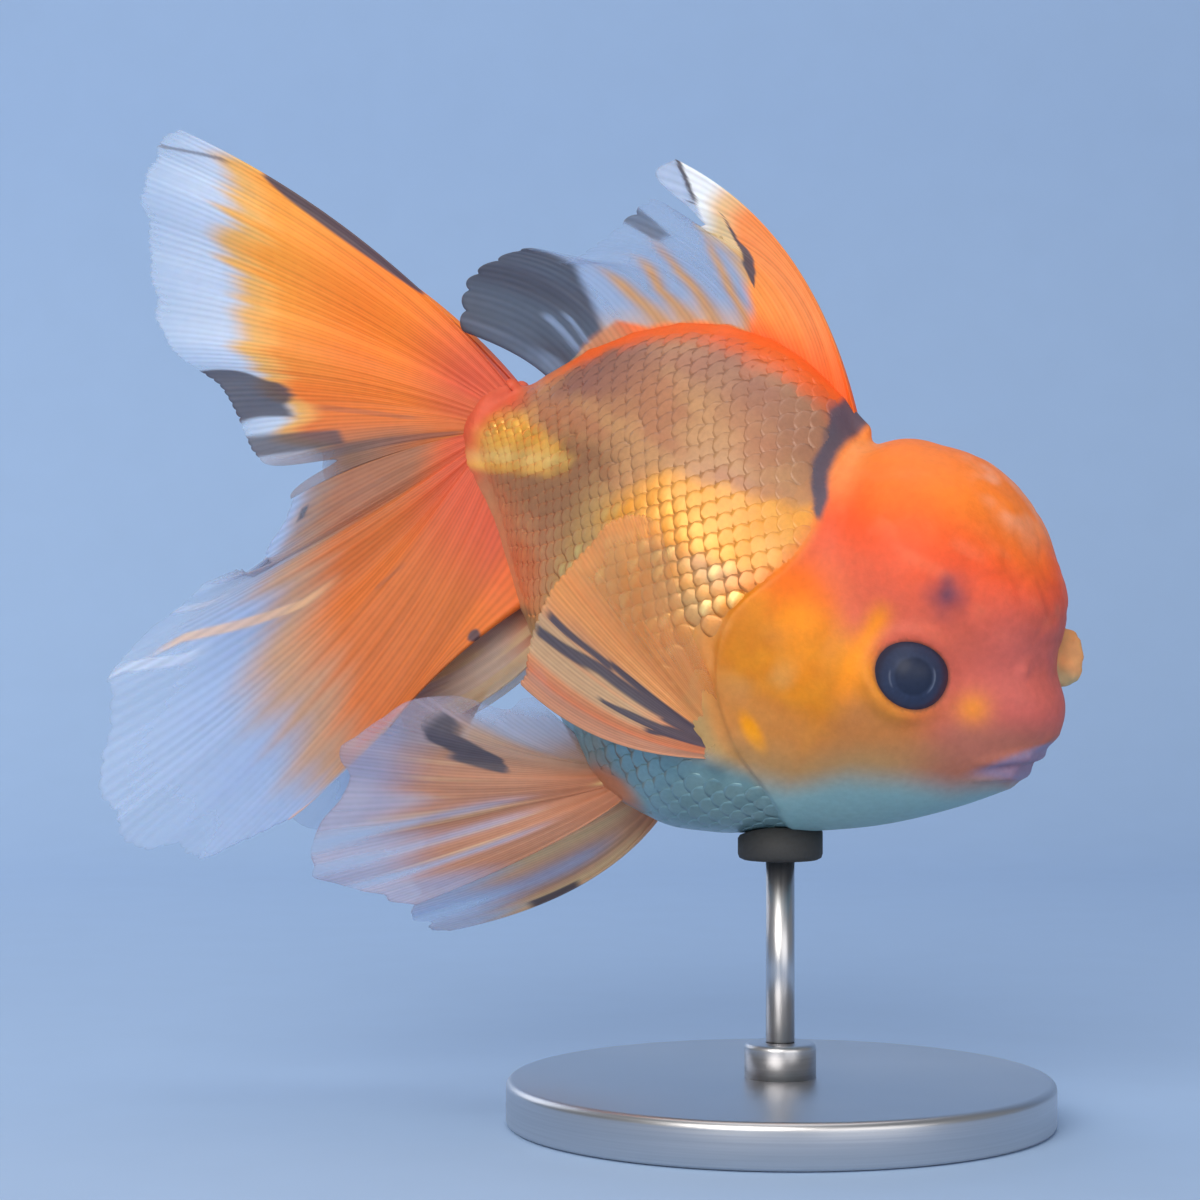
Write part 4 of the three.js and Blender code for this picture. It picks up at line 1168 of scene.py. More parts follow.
# ---- fins
FIN_ORANGE = srgb(255, 134, 44)
FIN_WARM = srgb(255, 160, 62)
FIN_TAN = srgb(244, 188, 108)
FIN_RUST = srgb(212, 114, 56)
FIN_WHITE = srgb(206, 220, 242)
FIN_BLUE = srgb(168, 190, 228)
FIN_LILAC = srgb(176, 176, 204)
FIN_CREAM = srgb(232, 200, 150)
FIN_BLACK = srgb(72, 70, 84)
FIN_SLATE = srgb(84, 96, 116)
FIN_BROWN = srgb(152, 116, 98)
FIN_DUN = srgb(200, 158, 128)
FIN_GREY = srgb(170, 142, 124)
FIN_PINK = srgb(222, 132, 90)
PECTORAL_ORANGE = srgb(246, 164, 96)
ANAL_TAN = srgb(206, 178, 160)
DORSAL_ORANGE = srgb(248, 142, 76)
DORSAL_WHITE = srgb(236, 240, 246)
DORSAL_SPINE = srgb(206, 160, 112)
DORSAL_FOOT = srgb(196, 130, 94)
TAIL_PALE = srgb(255, 206, 158)
TAIL_FLECK = srgb(246, 196, 176)
PELVIC_PEACH = srgb(222, 170, 130)
PECTORAL_TAN = srgb(206, 168, 130)
PECTORAL_EDGE = srgb(196, 144, 116)


def path_mark(s, t, path, width, fade=0.04):
    """1 along a mark on a fin through points (s, t), from its root outwards, 0 away from it."""
    along = [point[1] for point in path]
    across = np.abs(s - np.interp(t, along, [point[0] for point in path]))
    ends = ramp(along[0] - fade, along[0], t) * ramp(along[-1] + fade, along[-1], t)
    return ramp(width * 1.35, width * 0.75, across) * ends


def line_mark(s, t, start, end, width, fade=0.04):
    """The same for a straight mark."""
    return path_mark(s, t, [start, end], width, fade)


def ray_noise(s, t, rays, seed):
    """Noise drawn out along the rays, for ragged borders between colours."""
    p = np.stack([s * rays, t * 1.5, np.zeros_like(s)], -1)
    return noise(p, 1.0, seed) - 0.5


def paint_tail_upper(s, t, marked):
    """The upper lobe. Beyond s of 1 it is the web that joins it to the lower lobe."""
    ragged = 0.055 * ray_noise(s, t, 40, 71) + 0.06 * ray_noise(s, t, 13, 72) + 0.03 * ray_noise(s, t, 90, 73)
    border = 0.775 - 0.05 * bell(s, 0.47, 0.12) + 0.1 * bell(s, 0.03, 0.05) + 0.04 * bell(s, 0.8, 0.08)
    border = border + 0.13 * bell(s, 0.95, 0.04) + ragged
    shade = ramp(0.9, 1.02, s) * ramp(0.12, 0.4, t) * ramp(1.25, 1.0, t)
    web = ramp(1.0, 1.06, s)
    # painted shade: two dark lines in and beside the cleft between the lobes
    cleft_shade = line_mark(s, t, (1.08, 0.12), (1.05, 0.72), 0.035, 0.1)
    cleft_shade = cleft_shade + 0.6 * line_mark(s, t, (0.9, 0.3), (0.86, 0.6), 0.012, 0.1)
    if marked:
        reach = np.clip((t - 0.28) / 0.49, 0, 1)
        band = 0.058 * np.sin(np.pi * reach ** 0.9) ** 0.6 + 0.006 * ray_noise(s, t * 8, 9, 74)
        edge = ramp(band + 0.008, band - 0.008, s) * plateau(t, 0.28, 0.3, 0.74, 0.77)
        worn = s + 0.12 * ray_noise(s, t * 3, 22, 75)
        patch = plateau(worn, 0.73, 0.755, 0.895, 0.925) * ramp(0.71, 0.76, t + ragged)
        streak = line_mark(s + 0.02 * ray_noise(s, t * 2, 30, 76), t, (0.985, 0.62), (0.965, 0.98), 0.03)
        thin = line_mark(s, t, (0.035, 0.86), (0.085, 0.98), 0.007)
        black = np.clip(edge + 0.95 * patch + 0.85 * streak + 0.7 * thin, 0, 1)
    else:
        black = line_mark(s, t, (0.03, 0.45), (0.05, 0.7), 0.03)
    colour = painted(
        mix(TAIL_CORAL, FIN_ORANGE, ramp(0.06, 0.3, t)),
        (FIN_WARM, ramp(0.35, 0.66, t) * ramp(0.8, 0.6, s)),
        (FIN_RUST, ramp(0.45, 0.6, s) * 0.35 + ramp(0.74, 0.96, s) * 0.5),
        (FIN_TAN, ramp(border - 0.16, border - 0.02, t)),
        (FIN_WHITE, ramp(border - 0.05, border + 0.04, t)),
        (FIN_BROWN, 0.55 * shade),
        # the web, rust to brown: partly its own colour and partly painted shade between the lobes
        (mix(FIN_RUST, FIN_BROWN, ramp(0.1, 0.6, t)), web),
        # painted shade near the cleft between the lobes
        (FIN_BLACK, 0.45 * np.clip(cleft_shade, 0, 1)),
        (FIN_BLACK, 0.94 * black),
    )
    clear = 0.97 - 0.35 * ramp(border - 0.12, border + 0.02, t) - 0.42 * ramp(border, 1.0, t)
    clear = clear * (1 - web) + web * (0.9 - 0.6 * ramp(0.45, 0.85, t))
    return colour, np.maximum(clear, 0.88 * black)


TAIL_BORDER = [                                         # s and t where the lower lobe turns clear
    (0, 0.85), (0.08, 0.85), (0.25, 0.6), (0.42, 0.59), (0.55, 0.64), (0.7, 0.7), (0.85, 0.82), (0.95, 0.92),
    (1, 0.97),
]


def paint_tail_lower(s, t, marked):
    """The lower lobe: red at its root, blue and clear at its margin, with painted shade in front."""
    ragged = 0.06 * ray_noise(s, t, 40, 81) + 0.1 * ray_noise(s, t, 9, 82) + 0.03 * ray_noise(s, t, 90, 83)
    border = np.interp(s, *zip(*TAIL_BORDER)) + ragged
    bright = line_mark(s, t, (0.455, 0.52), (0.385, 0.82), 0.008, 0.12)
    wisp = line_mark(s, t, (0.31, 0.82), (0.27, 0.98), 0.008, 0.08)
    wisp = wisp + line_mark(s, t, (0.425, 0.8), (0.385, 0.96), 0.008, 0.08)
    shade = ramp(0.45, 0.1, s) * ramp(0.12, 0.3, t) * ramp(0.95, 0.8, t)
    colour = painted(
        mix(TAIL_CORAL * 0.92, FIN_RUST, ramp(0.05, 0.3, t)),
        (FIN_ORANGE, 0.6 * ramp(0.86, 1.0, s) * ramp(0.6, 0.2, t)),
        (FIN_DUN, ramp(border - 0.22, border - 0.04, t)),
        (FIN_BLUE, ramp(border - 0.07, border + 0.1, t)),
        (FIN_WHITE, 0.55 * ramp(border + 0.05, border + 0.4, t)),
        (TAIL_PALE, 0.7 * bright),
        (FIN_WHITE, 0.8 * np.clip(wisp, 0, 1)),
        (FIN_BROWN, 0.7 * shade),
    )
    clear = 0.95 - 0.3 * ramp(border - 0.2, border + 0.05, t) - 0.46 * ramp(border, border + 0.3, t)
    clear = np.maximum(clear, 0.62 * np.clip(bright + wisp, 0, 1)) - 0.12 * shade
    if marked:
        dots = line_mark(s, t, (0.05, 0.83), (0.05, 0.85), 0.012, 0.02)
        dots = dots + ramp(1.1, 0.7, np.hypot((s - 0.985) / 0.022, (t - 0.31) / 0.035))
        dots = dots + 0.25 * line_mark(s, t, (0.62, 0.28), (0.6, 0.34), 0.006, 0.02)
        fleck = line_mark(s, t, (0.89, 0.97), (0.885, 1.0), 0.02, 0.02)
        colour = painted(colour, (FIN_BLACK, 0.9 * np.clip(dots, 0, 1)), (TAIL_FLECK, fleck))
    return colour, clear


# On the dorsal fin, t and s of the rear edge of its orange part, of its dark lobe's front edge and of its
# black stripe, and s and t of the border of its orange foot.
DORSAL_EDGE = [(0, 0.44), (0.12, 0.395), (0.3, 0.325), (0.46, 0.275), (0.62, 0.245), (0.74, 0.25),
               (0.8, 0.25), (0.88, 0.2), (1, 0.13)]
DORSAL_LOBE = [(0, 1.05), (0.06, 0.95), (0.13, 0.8), (0.5, 0.75), (0.64, 0.715), (1, 0.69)]
DORSAL_STRIPE = [(0.05, 0.4), (0.43, 0.265), (0.58, 0.22), (0.765, 0.14), (0.86, 0.075)]
DORSAL_BASE = [(0.7, 0.1), (0.76, 0.2), (0.85, 0.15), (0.885, 0.12), (0.92, 0.04), (1, 0.03)]
DORSAL_SPINES = [                                       # the rays that stand out in its clear middle
    [(0.52, 0.05), (0.48, 0.48), (0.37, 0.88)], [(0.59, 0.05), (0.595, 0.31), (0.49, 0.75)],
    [(0.655, 0.05), (0.672, 0.29), (0.67, 0.56)], [(0.41, 0.05), (0.375, 0.34), (0.305, 0.615), (0.25, 0.78)],
]


def dorsal_spines(s, t):
    """The rays that show in its clear middle, fading towards their tips."""
    spines = np.zeros_like(s)
    for path in DORSAL_SPINES:
        along = [point[1] for point in path]
        across = s + 0.012 * ray_noise(s, t * 2, 16, 98) - np.interp(t, along, [point[0] for point in path])
        fade = ramp(along[-1] + 0.16, along[-1] - 0.2, t)
        spines = np.maximum(spines, bell(across, 0, 0.028 - 0.014 * t) * fade)
    return spines * (0.5 + 0.5 * ramp(0.95, 0.4, t + 0.2 * ray_noise(s, t, 7, 95)))


def dorsal_lobe(s, t):
    """The colour of its dark rear lobe, and how much of that is pale."""
    pale = line_mark(s, t, (0.893, 0.16), (0.885, 0.4), 0.008, 0.1)
    pale = pale + line_mark(s, t, (0.862, 0.14), (0.855, 0.3), 0.006, 0.1)
    pale = pale + 0.6 * ramp(0.24, 0.42, ray_noise(s, t, 26, 94)) * ramp(0.62, 0.2, t)
    pale = np.clip(pale, 0, 1)
    colour = painted(
        mix(FIN_SLATE, FIN_BLACK, 0.6 * ramp(0.3, 0.8, ray_noise(s, t, 18, 93) + 0.5)),
        (FIN_SLATE * 1.7, 0.55 * ramp(0.1, 0.4, ray_noise(s, t, 34, 99))),
        (FIN_BLUE, 0.45 * pale),
    )
    return colour, pale


def paint_dorsal(s, t, marked):
    """Orange in front with a white tip and a black stripe, clear in the middle, with a dark rear lobe."""
    front = np.interp(t, *zip(*DORSAL_EDGE)) + 0.025 * ray_noise(s, t, 30, 91)
    solid = ramp(front + 0.035, front - 0.025, s)
    lobe_edge = np.interp(t, *zip(*DORSAL_LOBE))
    rear = ramp(lobe_edge - 0.012, lobe_edge + 0.018, s + 0.02 * ray_noise(s, t, 30, 92))
    stripe_s = np.interp(t, *zip(*DORSAL_STRIPE))
    behind = ramp(-0.005, 0.02, s - stripe_s) * ramp(0.36, 0.5, t)
    toward_tip = t + 1.1 * np.maximum(0.06 - s, 0)
    tip_line = s - (1.015 - t) / 0.7
    beyond = ramp(-0.004, 0.012, tip_line) * ramp(0.13, 0.08, s) * ramp(0.9, 0.94, t)
    orange = painted(
        mix(RIDGE, DORSAL_ORANGE, ramp(0.05, 0.35, t)),
        (FIN_WARM, 0.5 * ramp(0.12, 0.3, s) * ramp(0.1, 0.3, t)),
        (mix(FIN_TAN * 0.85, FIN_CREAM, ramp(0.6, 0.75, t)), behind),
        (FIN_CREAM, 0.8 * ramp(0.76, 0.87, toward_tip)),
        (DORSAL_WHITE, ramp(0.86, 0.95, toward_tip)),
        (FIN_BLUE, 0.6 * beyond),
    )
    spines = dorsal_spines(s, t)
    black, pale = dorsal_lobe(s, t)
    base_top = np.interp(s, *zip(*DORSAL_BASE))
    base = ramp(base_top + 0.03 * ray_noise(s, t, 20, 96), base_top - 0.06, t)
    worn = s + 0.01 * ray_noise(s, t * 3, 50, 97)
    taper = np.sin(np.pi * np.clip((t - 0.42) / 0.45, 0, 1)) ** 0.8
    marks = ramp(0.021, 0.012, np.abs(worn - stripe_s) / np.maximum(taper, 0.05)) * (taper > 0)
    marks = marks + ramp(0.022, 0.012, np.abs(tip_line)) * ramp(0.075, 0.065, s) * ramp(0.94, 0.97, t)
    tip = line_mark(worn, t, (0.37, 0.82), (0.35, 1.0), 0.02, 0.08)
    colour = painted(
        mix(FIN_TAN, FIN_BLUE * 0.85, ramp(0.02, 0.3, t)),
        (DORSAL_SPINE, spines),
        (orange, solid),
        (black, rear),
        (mix(RIDGE, DORSAL_FOOT, ramp(0.7, 0.8, s)), base * 0.92),
        (FIN_BLACK, 0.94 * np.clip(marks, 0, 1)),
        (FIN_SLATE * 1.3, 0.8 * tip),
    )
    glass_clear = 0.3 - 0.16 * ramp(0.6, 0.9, t) + 0.5 * spines + 0.6 * base
    clear = np.clip(glass_clear, 0, 0.95) * (1 - solid) + (0.97 - 0.2 * behind - 0.6 * beyond) * solid
    clear = clear * (1 - rear) + np.maximum(0.84 - 0.3 * pale, 0.95 * base) * rear
    clear = np.maximum(clear, 0.88 * np.clip(marks + 0.9 * tip, 0, 1))
    return colour, np.clip(clear, 0.1, 1)


def paint_pelvic_right(s, t, marked):
    """Peach and grey with lilac gaps between its rays and a black bar."""
    ragged = 0.12 * ray_noise(s, t, 20, 101)
    bend = s + 0.03 * ray_noise(s, t, 12, 103)
    gaps = bell(bend, 0.56 - 0.12 * t, 0.026) + bell(bend, 0.36 - 0.02 * t, 0.03)
    gaps = gaps + bell(bend, 0.19 + 0.02 * t, 0.024)
    gaps = np.clip(gaps, 0, 1) * ramp(0.24, 0.5, t)
    outer = ramp(0.6, 0.88, t + ragged)
    reach = np.clip((t - 0.4) / 0.46, 0, 1)
    width = 0.066 * np.sin(np.pi * reach ** 0.8) ** 0.7 + 0.004
    feather = 0.03 * ray_noise(s, t, 30, 102) + 0.05 * ray_noise(s, t * 2, 44, 105) * reach
    bar = ramp(width * 1.25, width * 0.8, np.abs(s - 0.705 - 0.25 * reach ** 0.8 + feather))
    bar = bar * ramp(0.38, 0.43, t) * ramp(0.9, 0.78, t + ragged)
    web = ramp(0.95, 1.05, s)
    colour = painted(
        mix(PEACH, FIN_GREY, 0.35 * ramp(0.1, 0.4, t)),
        (FIN_CREAM, 0.35 * ramp(0.15, 0.4, ray_noise(s, t, 34, 104)) * ramp(0.2, 0.5, t)),
        (FIN_GREY, ramp(0.66, 0.9, s) * 0.7),
        (FIN_LILAC, 0.75 * gaps),
        (FIN_LILAC, 0.8 * outer),
        (FIN_BLACK, 0.95 * bar),
        (FIN_BLUE, 0.5 * web * ramp(0.2, 0.6, t)),
        (GOLD_PALE, 0.8 * bell(np.hypot((s - 0.55) * 1.5, t - 0.035), 0, 0.05)),
    )
    clear = 0.93 - 0.32 * ramp(0.3, 0.7, t) * (0.4 + gaps) - 0.42 * outer
    clear = clear - 0.12 * ramp(0.7, 0.9, s)
    clear = clear * (1 - 0.45 * web * ramp(0.1, 0.4, t))
    return colour, np.clip(np.maximum(clear, 0.92 * bar), 0.15, 1)


def paint_pelvic_left(s, t, marked):
    """Plainer, with cream stripes and one black mark."""
    stripe = bell(s, 0.05, 0.05) + bell(s, 0.42, 0.05) + bell(s, 0.68, 0.08)
    gap = (bell(s, 0.24, 0.08) + bell(s, 0.55, 0.04)) * ramp(0.25, 0.5, t)
    gap = np.clip(gap, 0, 1)
    outer = ramp(0.66, 0.9, t + 0.12 * ray_noise(s, t, 20, 111))
    mark = line_mark(s, t, (0.02, 0.54), (0.03, 0.68), 0.035)
    colour = painted(
        mix(PEACH, PELVIC_PEACH, ramp(0.1, 0.35, t)),
        (FIN_CREAM, 0.8 * np.clip(stripe, 0, 1) * ramp(0.1, 0.4, t)),
        (FIN_LILAC, 0.85 * gap),
        (FIN_BLUE, 0.8 * outer),
        (FIN_BLACK, 0.9 * mark),
    )
    clear = 0.92 - 0.35 * gap - 0.38 * outer
    return colour, np.clip(np.maximum(clear, 0.9 * mark), 0.15, 1)


PECTORAL_STREAKS = [        # black streaks: their points (s, t) and their half width at each end
    ([(0.395, 0.035), (0.345, 0.335), (0.32, 0.645), (0.265, 0.945)], 0.05, 0.016),
    ([(0.4, 0.0), (0.33, 0.3)], 0.14, 0.04), ([(0.365, 0.62), (0.35, 0.92)], 0.014, 0.012),
    ([(0.4, 0.1), (0.38, 0.6)], 0.04, 0.012), ([(0.3, 0.08), (0.225, 0.305), (0.2, 0.575)], 0.05, 0.012),
    ([(0.26, 0.1), (0.17, 0.34)], 0.05, 0.012),
]


def paint_pectoral(s, t, marked):
    ragged = ray_noise(s, t, 26, 121)
    stripes = ramp(0.05, 0.3, ragged) * ramp(0.15, 0.4, t)
    strip = ramp(0.8, 0.94, t + 0.08 * ragged) * ramp(0.32, 0.4, s) * ramp(1.0, 0.88, s)
    black = np.zeros_like(s)
    if marked:
        worn = s + 0.014 * ray_noise(s, t * 2, 44, 122) + 0.012 * ray_noise(s, t * 4, 12, 123)
        for path, wide, narrow in PECTORAL_STREAKS:
            share = np.clip((t - path[0][1]) / (path[-1][1] - path[0][1]), 0, 1)
            width = wide + (narrow - wide) * share
            black = np.maximum(black, path_mark(worn, t, path, width, 0.05))
        black = black * ramp(0.0, 0.04, t)
    colour = painted(
        mix(FIN_PINK, PECTORAL_TAN, ramp(0.12, 0.5, t) * ramp(0.1, 0.2, s)),
        (PECTORAL_ORANGE, ramp(0.36, 0.44, s) * 0.9),
        (FIN_RUST, 0.3 * stripes * ramp(0.75, 0.5, s)),
        (PECTORAL_EDGE, 0.8 * ramp(0.11, 0.08, s)),
        (PECTORAL_ORANGE, 0.6 * strip),
        (FIN_BLACK, 0.94 * black),
    )
    clear = 0.9 - 0.15 * ramp(0.3, 0.7, t) + 0.08 * stripes
    clear = clear - 0.52 * ramp(0.46, 0.6, s) * ramp(0.05, 0.25, t) - 0.15 * ramp(0.75, 0.85, s)
    for least in (0.5 * strip, 0.95 * ramp(0.085, 0.05, s), 0.94 * black):
        clear = np.maximum(clear, least)
    return colour, np.clip(clear, 0.15, 1)


def paint_anal(s, t, marked):
    colour = painted(
        mix(PEACH, ANAL_TAN, ramp(0.05, 0.35, t)),
        (FIN_CREAM, 0.6 * ramp(0.05, 0.3, ray_noise(s, t, 12, 132))),
        (FIN_LILAC, 0.6 * ramp(0.65, 0.95, t + 0.1 * ray_noise(s, t, 14, 131))),
    )
    clear = 0.88 - 0.34 * ramp(0.4, 1.0, t) - 0.5 * ramp(0.3, 0.05, s) * ramp(0.1, 0.3, t)
    return colour, clear


def scalloped(s, count, depth, start=0.0, end=1.0):
    """How much shorter the fin is between rays, over part of its width."""
    notch = 1 - np.abs(np.sin(np.pi * count * s)) ** 0.5
    return depth * notch * ramp(start - 0.02, start + 0.02, s) * ramp(end + 0.02, end - 0.02, s)


def frayed(s, count, depth, seed):
    """An uneven margin: each stretch of rays ends at its own length."""
    return depth * np.clip(noise(np.stack([s * count, s * 0, s * 0], -1), 1.0, seed), 0, 1)


PELVIC_WEB = [(43.2, 7.2, -33.2), (36, 11.5, -30.8), (29.5, 14, -29.2)]    # the pelvic fin's clear last ray


def fin(rays, side, paint, trim, **own):
    """What add_fin is told of one fin: what most fins share, and the fin's own values."""
    shared = dict(marked=True, across=220, along=90, root=1.8, edge=0.4, lines=9, ripple=0.9, spine=0.5)
    return dict(shared, rays=rays, side=side, paint=paint, trim=trim, **own)


def dorsal_trim(s):
    """The dorsal fin's margin: scalloped lobe and middle, a longer front tip and a dip behind it."""
    lobe = scalloped(s, 19, 0.045, 0.74, 1.1)
    middle = 0.03 * scalloped(s, 26, 1, 0.1, 0.74)
    return lobe + middle - 0.11 * bell(s, 0.045, 0.036) + 0.05 * bell(s, 0.12, 0.05)


def fray(count, depth, seed, notches=None, web_cut=None):
    """A frayed margin. Its notches are a count and a depth, its web_cut a depth, a place and a width."""
    def trim(s):
        shorter = frayed(s, count, depth, seed)
        if notches:
            shorter = shorter + notches[1] * scalloped(s, notches[0], 1)
        if web_cut:
            shorter = shorter + web_cut[0] * bell(s, *web_cut[1:])
        return shorter
    return trim


UPPER = dict(across=280, along=110, root=2.2, lines=13, ripple=0.8, spine=0.7)
LOWER = dict(across=300, along=110, root=2.2, lines=15, ripple=1.3, spine=0.3)
SMALL = dict(across=90, along=60, root=1.3, lines=5, ripple=0.3, spine=0.3)
STIFF = dict(root=1.6, lines=10, ripple=0.3, spine=0.6)
TAIL_WEB_CUT = (0.3, 1.11, 0.05)    # how far the web between its lobes is cut back, where, and how widely

FINS = {
    "dorsal_fin": fin(DORSAL, RIGHT, paint_dorsal, dorsal_trim, across=300, edge=0.45, lines=11, ripple=0.5),
    "tail_upper_right": fin(
        TAIL_UPPER, RIGHT, paint_tail_upper, fray(22, 0.035, 141, (48, 0.01), TAIL_WEB_CUT),
        web=TAIL_LOWER[0], **UPPER),
    "tail_lower_right": fin(TAIL_LOWER, RIGHT, paint_tail_lower, fray(26, 0.06, 142, (52, 0.01)), **LOWER),
    "tail_upper_left": fin(
        TAIL_UPPER_LEFT, LEFT, paint_tail_upper, fray(22, 0.04, 143, web_cut=TAIL_WEB_CUT),
        marked=False, web=TAIL_LOWER_LEFT[0], **UPPER),
    "tail_lower_left": fin(
        TAIL_LOWER_LEFT, LEFT, paint_tail_lower, fray(26, 0.06, 144), marked=False, **LOWER),
    "anal_fin_right": fin(ANAL, RIGHT, paint_anal, fray(9, 0.05, 145), **SMALL),
    "anal_fin_left": fin(ANAL, LEFT, paint_anal, fray(9, 0.05, 146), **SMALL),
    "pelvic_fin_right": fin(
        PELVIC_RIGHT, RIGHT, paint_pelvic_right, fray(16, 0.05, 147, web_cut=(0.2, 1.1, 0.06)),
        web=PELVIC_WEB),
    "pelvic_fin_left": fin(PELVIC_LEFT, LEFT, paint_pelvic_left, fray(16, 0.05, 148)),
    "pectoral_fin_right": fin(
        PECTORAL_RIGHT, RIGHT, paint_pectoral, fray(14, 0.03, 149, (30, 0.012)), **STIFF),
    "pectoral_fin_left": fin(
        PECTORAL_LEFT, LEFT, paint_pectoral, fray(14, 0.03, 150), marked=False, **STIFF),
}


def ray_ridges(s, t, lines):
    """Bony rays that fork twice on their way to the margin: 1 on a ray, 0 between."""
    s = s + 0.35 / lines * (noise(np.stack([s * lines * 0.9, t * 0.6, s * 0], -1), 1.0, 174) - 0.5)
    def comb(count):
        return np.abs(np.cos(np.pi * count * s)) ** 3
    once = ramp(0.22, 0.36, t)
    twice = ramp(0.56, 0.7, t)
    return (comb(lines) * (1 - once) + comb(2 * lines) * once * (1 - twice) + comb(4 * lines) * twice)


def add_fin(name, rays, side, paint, marked, across, along, root, edge, lines, ripple, trim, spine, web=None):
    """One fin: a closed sheet with forking rays, a rippled and frayed margin and a firmer leading edge."""
    beyond = 1.0
    if web is not None:
        beyond = len(rays) / (len(rays) - 1)
        rays = rays + [web]
        across = round(across * beyond)
    place, share = np.meshgrid(np.linspace(0, 1, across + 1), np.linspace(0, 1, along + 1), indexing="ij")
    s = place * beyond
    length = 1 - trim(s[:, 0])[:, None]
    t = share * length
    warp = 0.008 * (noise(np.stack([s * 14, t * 3, s * 0], -1), 1.0, 171) - 0.5) * np.sin(np.pi * place)
    middle = fin_point(rays, side, np.clip(place + warp, 0, 1), t)
    normal = unit(np.cross(np.gradient(middle, axis=0), np.gradient(middle, axis=1)))
    waves = np.sin(2 * np.pi * (2.3 * s + 0.35 * t)) + 0.5 * np.sin(2 * np.pi * (5.1 * s - 0.6 * t) + 1)
    calm = np.sin(np.pi * np.clip(place, 0, 1)) ** 0.5
    middle = middle + normal * (ripple * waves * calm * t ** 2)[..., None]
    strong = 0.35 + 0.9 * noise(np.stack([s * lines * 1.7, s * 0, s * 0], -1), 1.0, 172)
    ridges = ray_ridges(s, t, lines) * strong
    thick = edge + (root - edge) * (1 - t) ** 3 + 0.18 * ridges * (1 - 0.85 * t)
    thick = thick + spine * ramp(0.035, 0.0, s) * (1 - 0.7 * t)
    rounded = np.minimum(np.minimum(place, 1 - place) * across / 2.2, (1 - share) * along / 2)
    thick = thick * np.sqrt(1 - (1 - np.clip(rounded, 0.06, 1)) ** 2)
    half = normal * thick[..., None] / 2
    points = np.concatenate([(middle + half).reshape(-1, 3), (middle - half).reshape(-1, 3)])
    colour, clear = paint(s, t, marked)
    bands = noise(np.stack([s * lines * 2.3, t * 0.8, s * 0], -1), 1.0, 173) - 0.5
    colour = colour * (0.97 + 0.07 * ridges + 0.16 * bands * ramp(0.1, 0.3, t))[..., None]
    clear = np.clip(clear + 0.03 * (ridges - 0.4) + 0.08 * bands, 0.05, 1)
    faces, _ = closed_sheet(np.arange(s.size).reshape(s.shape), s.size)
    if side == LEFT:
        faces = faces[:, ::-1]
    paints = np.tile(colour.reshape(-1, 3), (2, 1))
    piece = mesh_object(name + "_membrane", points, faces, MEMBRANE, {"clear": np.tile(clear.ravel(), 2)},
                        {"paint": paints})
    add_uv(piece, "rays", np.tile(np.stack([s.ravel(), t.ravel()], 1), (2, 1)))
    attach(piece, "root")
    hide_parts(name)


# ---- eyes
IRIS = srgb(52, 62, 88)
IRIS_RIM = srgb(44, 50, 70)
PUPIL = srgb(38, 46, 68)
IRIS_ARC = srgb(150, 158, 176)
PUPIL_ANGLE = 27            # half angle of the pupil, seen from the eye's centre
IRIS_ANGLE = 58


def add_eye(name, side):
    around, rings = 96, 72
    gaze = unit(np.array([GAZE[0], side * GAZE[1], GAZE[2]]))
    level = unit(np.cross(gaze, [0.0, 0, 1]))
    up = np.cross(level, gaze)
    angle = np.pi * np.arange(1, rings) / rings
    turn = 2 * np.pi * np.arange(around) / around
    a, b = np.meshgrid(angle, turn, indexing="ij")
    way = (np.cos(a)[..., None] * gaze
           + np.sin(a)[..., None] * (np.cos(b)[..., None] * level + np.sin(b)[..., None] * up))
    degrees = np.degrees(a)
    bulge = 0.15 * ramp(46, 10, degrees)
    centre = np.array([EYE_AT[0], side * EYE_AT[1], EYE_AT[2]])
    ball = centre + way * (EYE_RADIUS - 0.1 + bulge)[..., None]
    poles = centre + np.stack([gaze * (EYE_RADIUS + 0.05), -gaze * (EYE_RADIUS - 0.1)])
    points = np.concatenate([ball.reshape(-1, 3), poles])
    fibres = noise(np.stack([b * 14, a * 2, a * 0], -1), 1.0, 161)
    colour = mix(IRIS_RIM, IRIS, ramp(IRIS_ANGLE, IRIS_ANGLE - 14, degrees) * (0.65 + 0.35 * fibres))
    colour = mix(colour, PUPIL, ramp(PUPIL_ANGLE + 2, PUPIL_ANGLE - 1, degrees))
    arc = bell(degrees, PUPIL_ANGLE + 5, 1.6) * ramp(0.75, 0.97, np.cos(b - 2.9))
    arc = arc + 0.6 * bell(degrees, PUPIL_ANGLE + 8, 1.4) * ramp(0.9, 0.99, np.cos(b + 0.6))
    colour = mix(colour, IRIS_ARC, 0.45 * arc)
    paints = np.concatenate([colour.reshape(-1, 3), [PUPIL, IRIS_RIM]])
    grid = np.arange((rings - 1) * around).reshape(rings - 1, around)
    beside = np.roll(grid, -1, 1)
    quads = ring_faces(grid)
    front = np.full(around, len(points) - 2)
    first = np.stack([front, grid[0], beside[0]], 1)
    last = np.stack([front + 1, beside[-1], grid[-1]], 1)
    triangles = np.concatenate([quads[:, [0, 1, 2]], quads[:, [0, 2, 3]], first, last])
    if side == RIGHT:
        triangles = triangles[:, ::-1]
    piece = mesh_object(name + "_ball", points, triangles, EYE, (), {"paint": paints})
    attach(piece, "root")
    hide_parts(name)


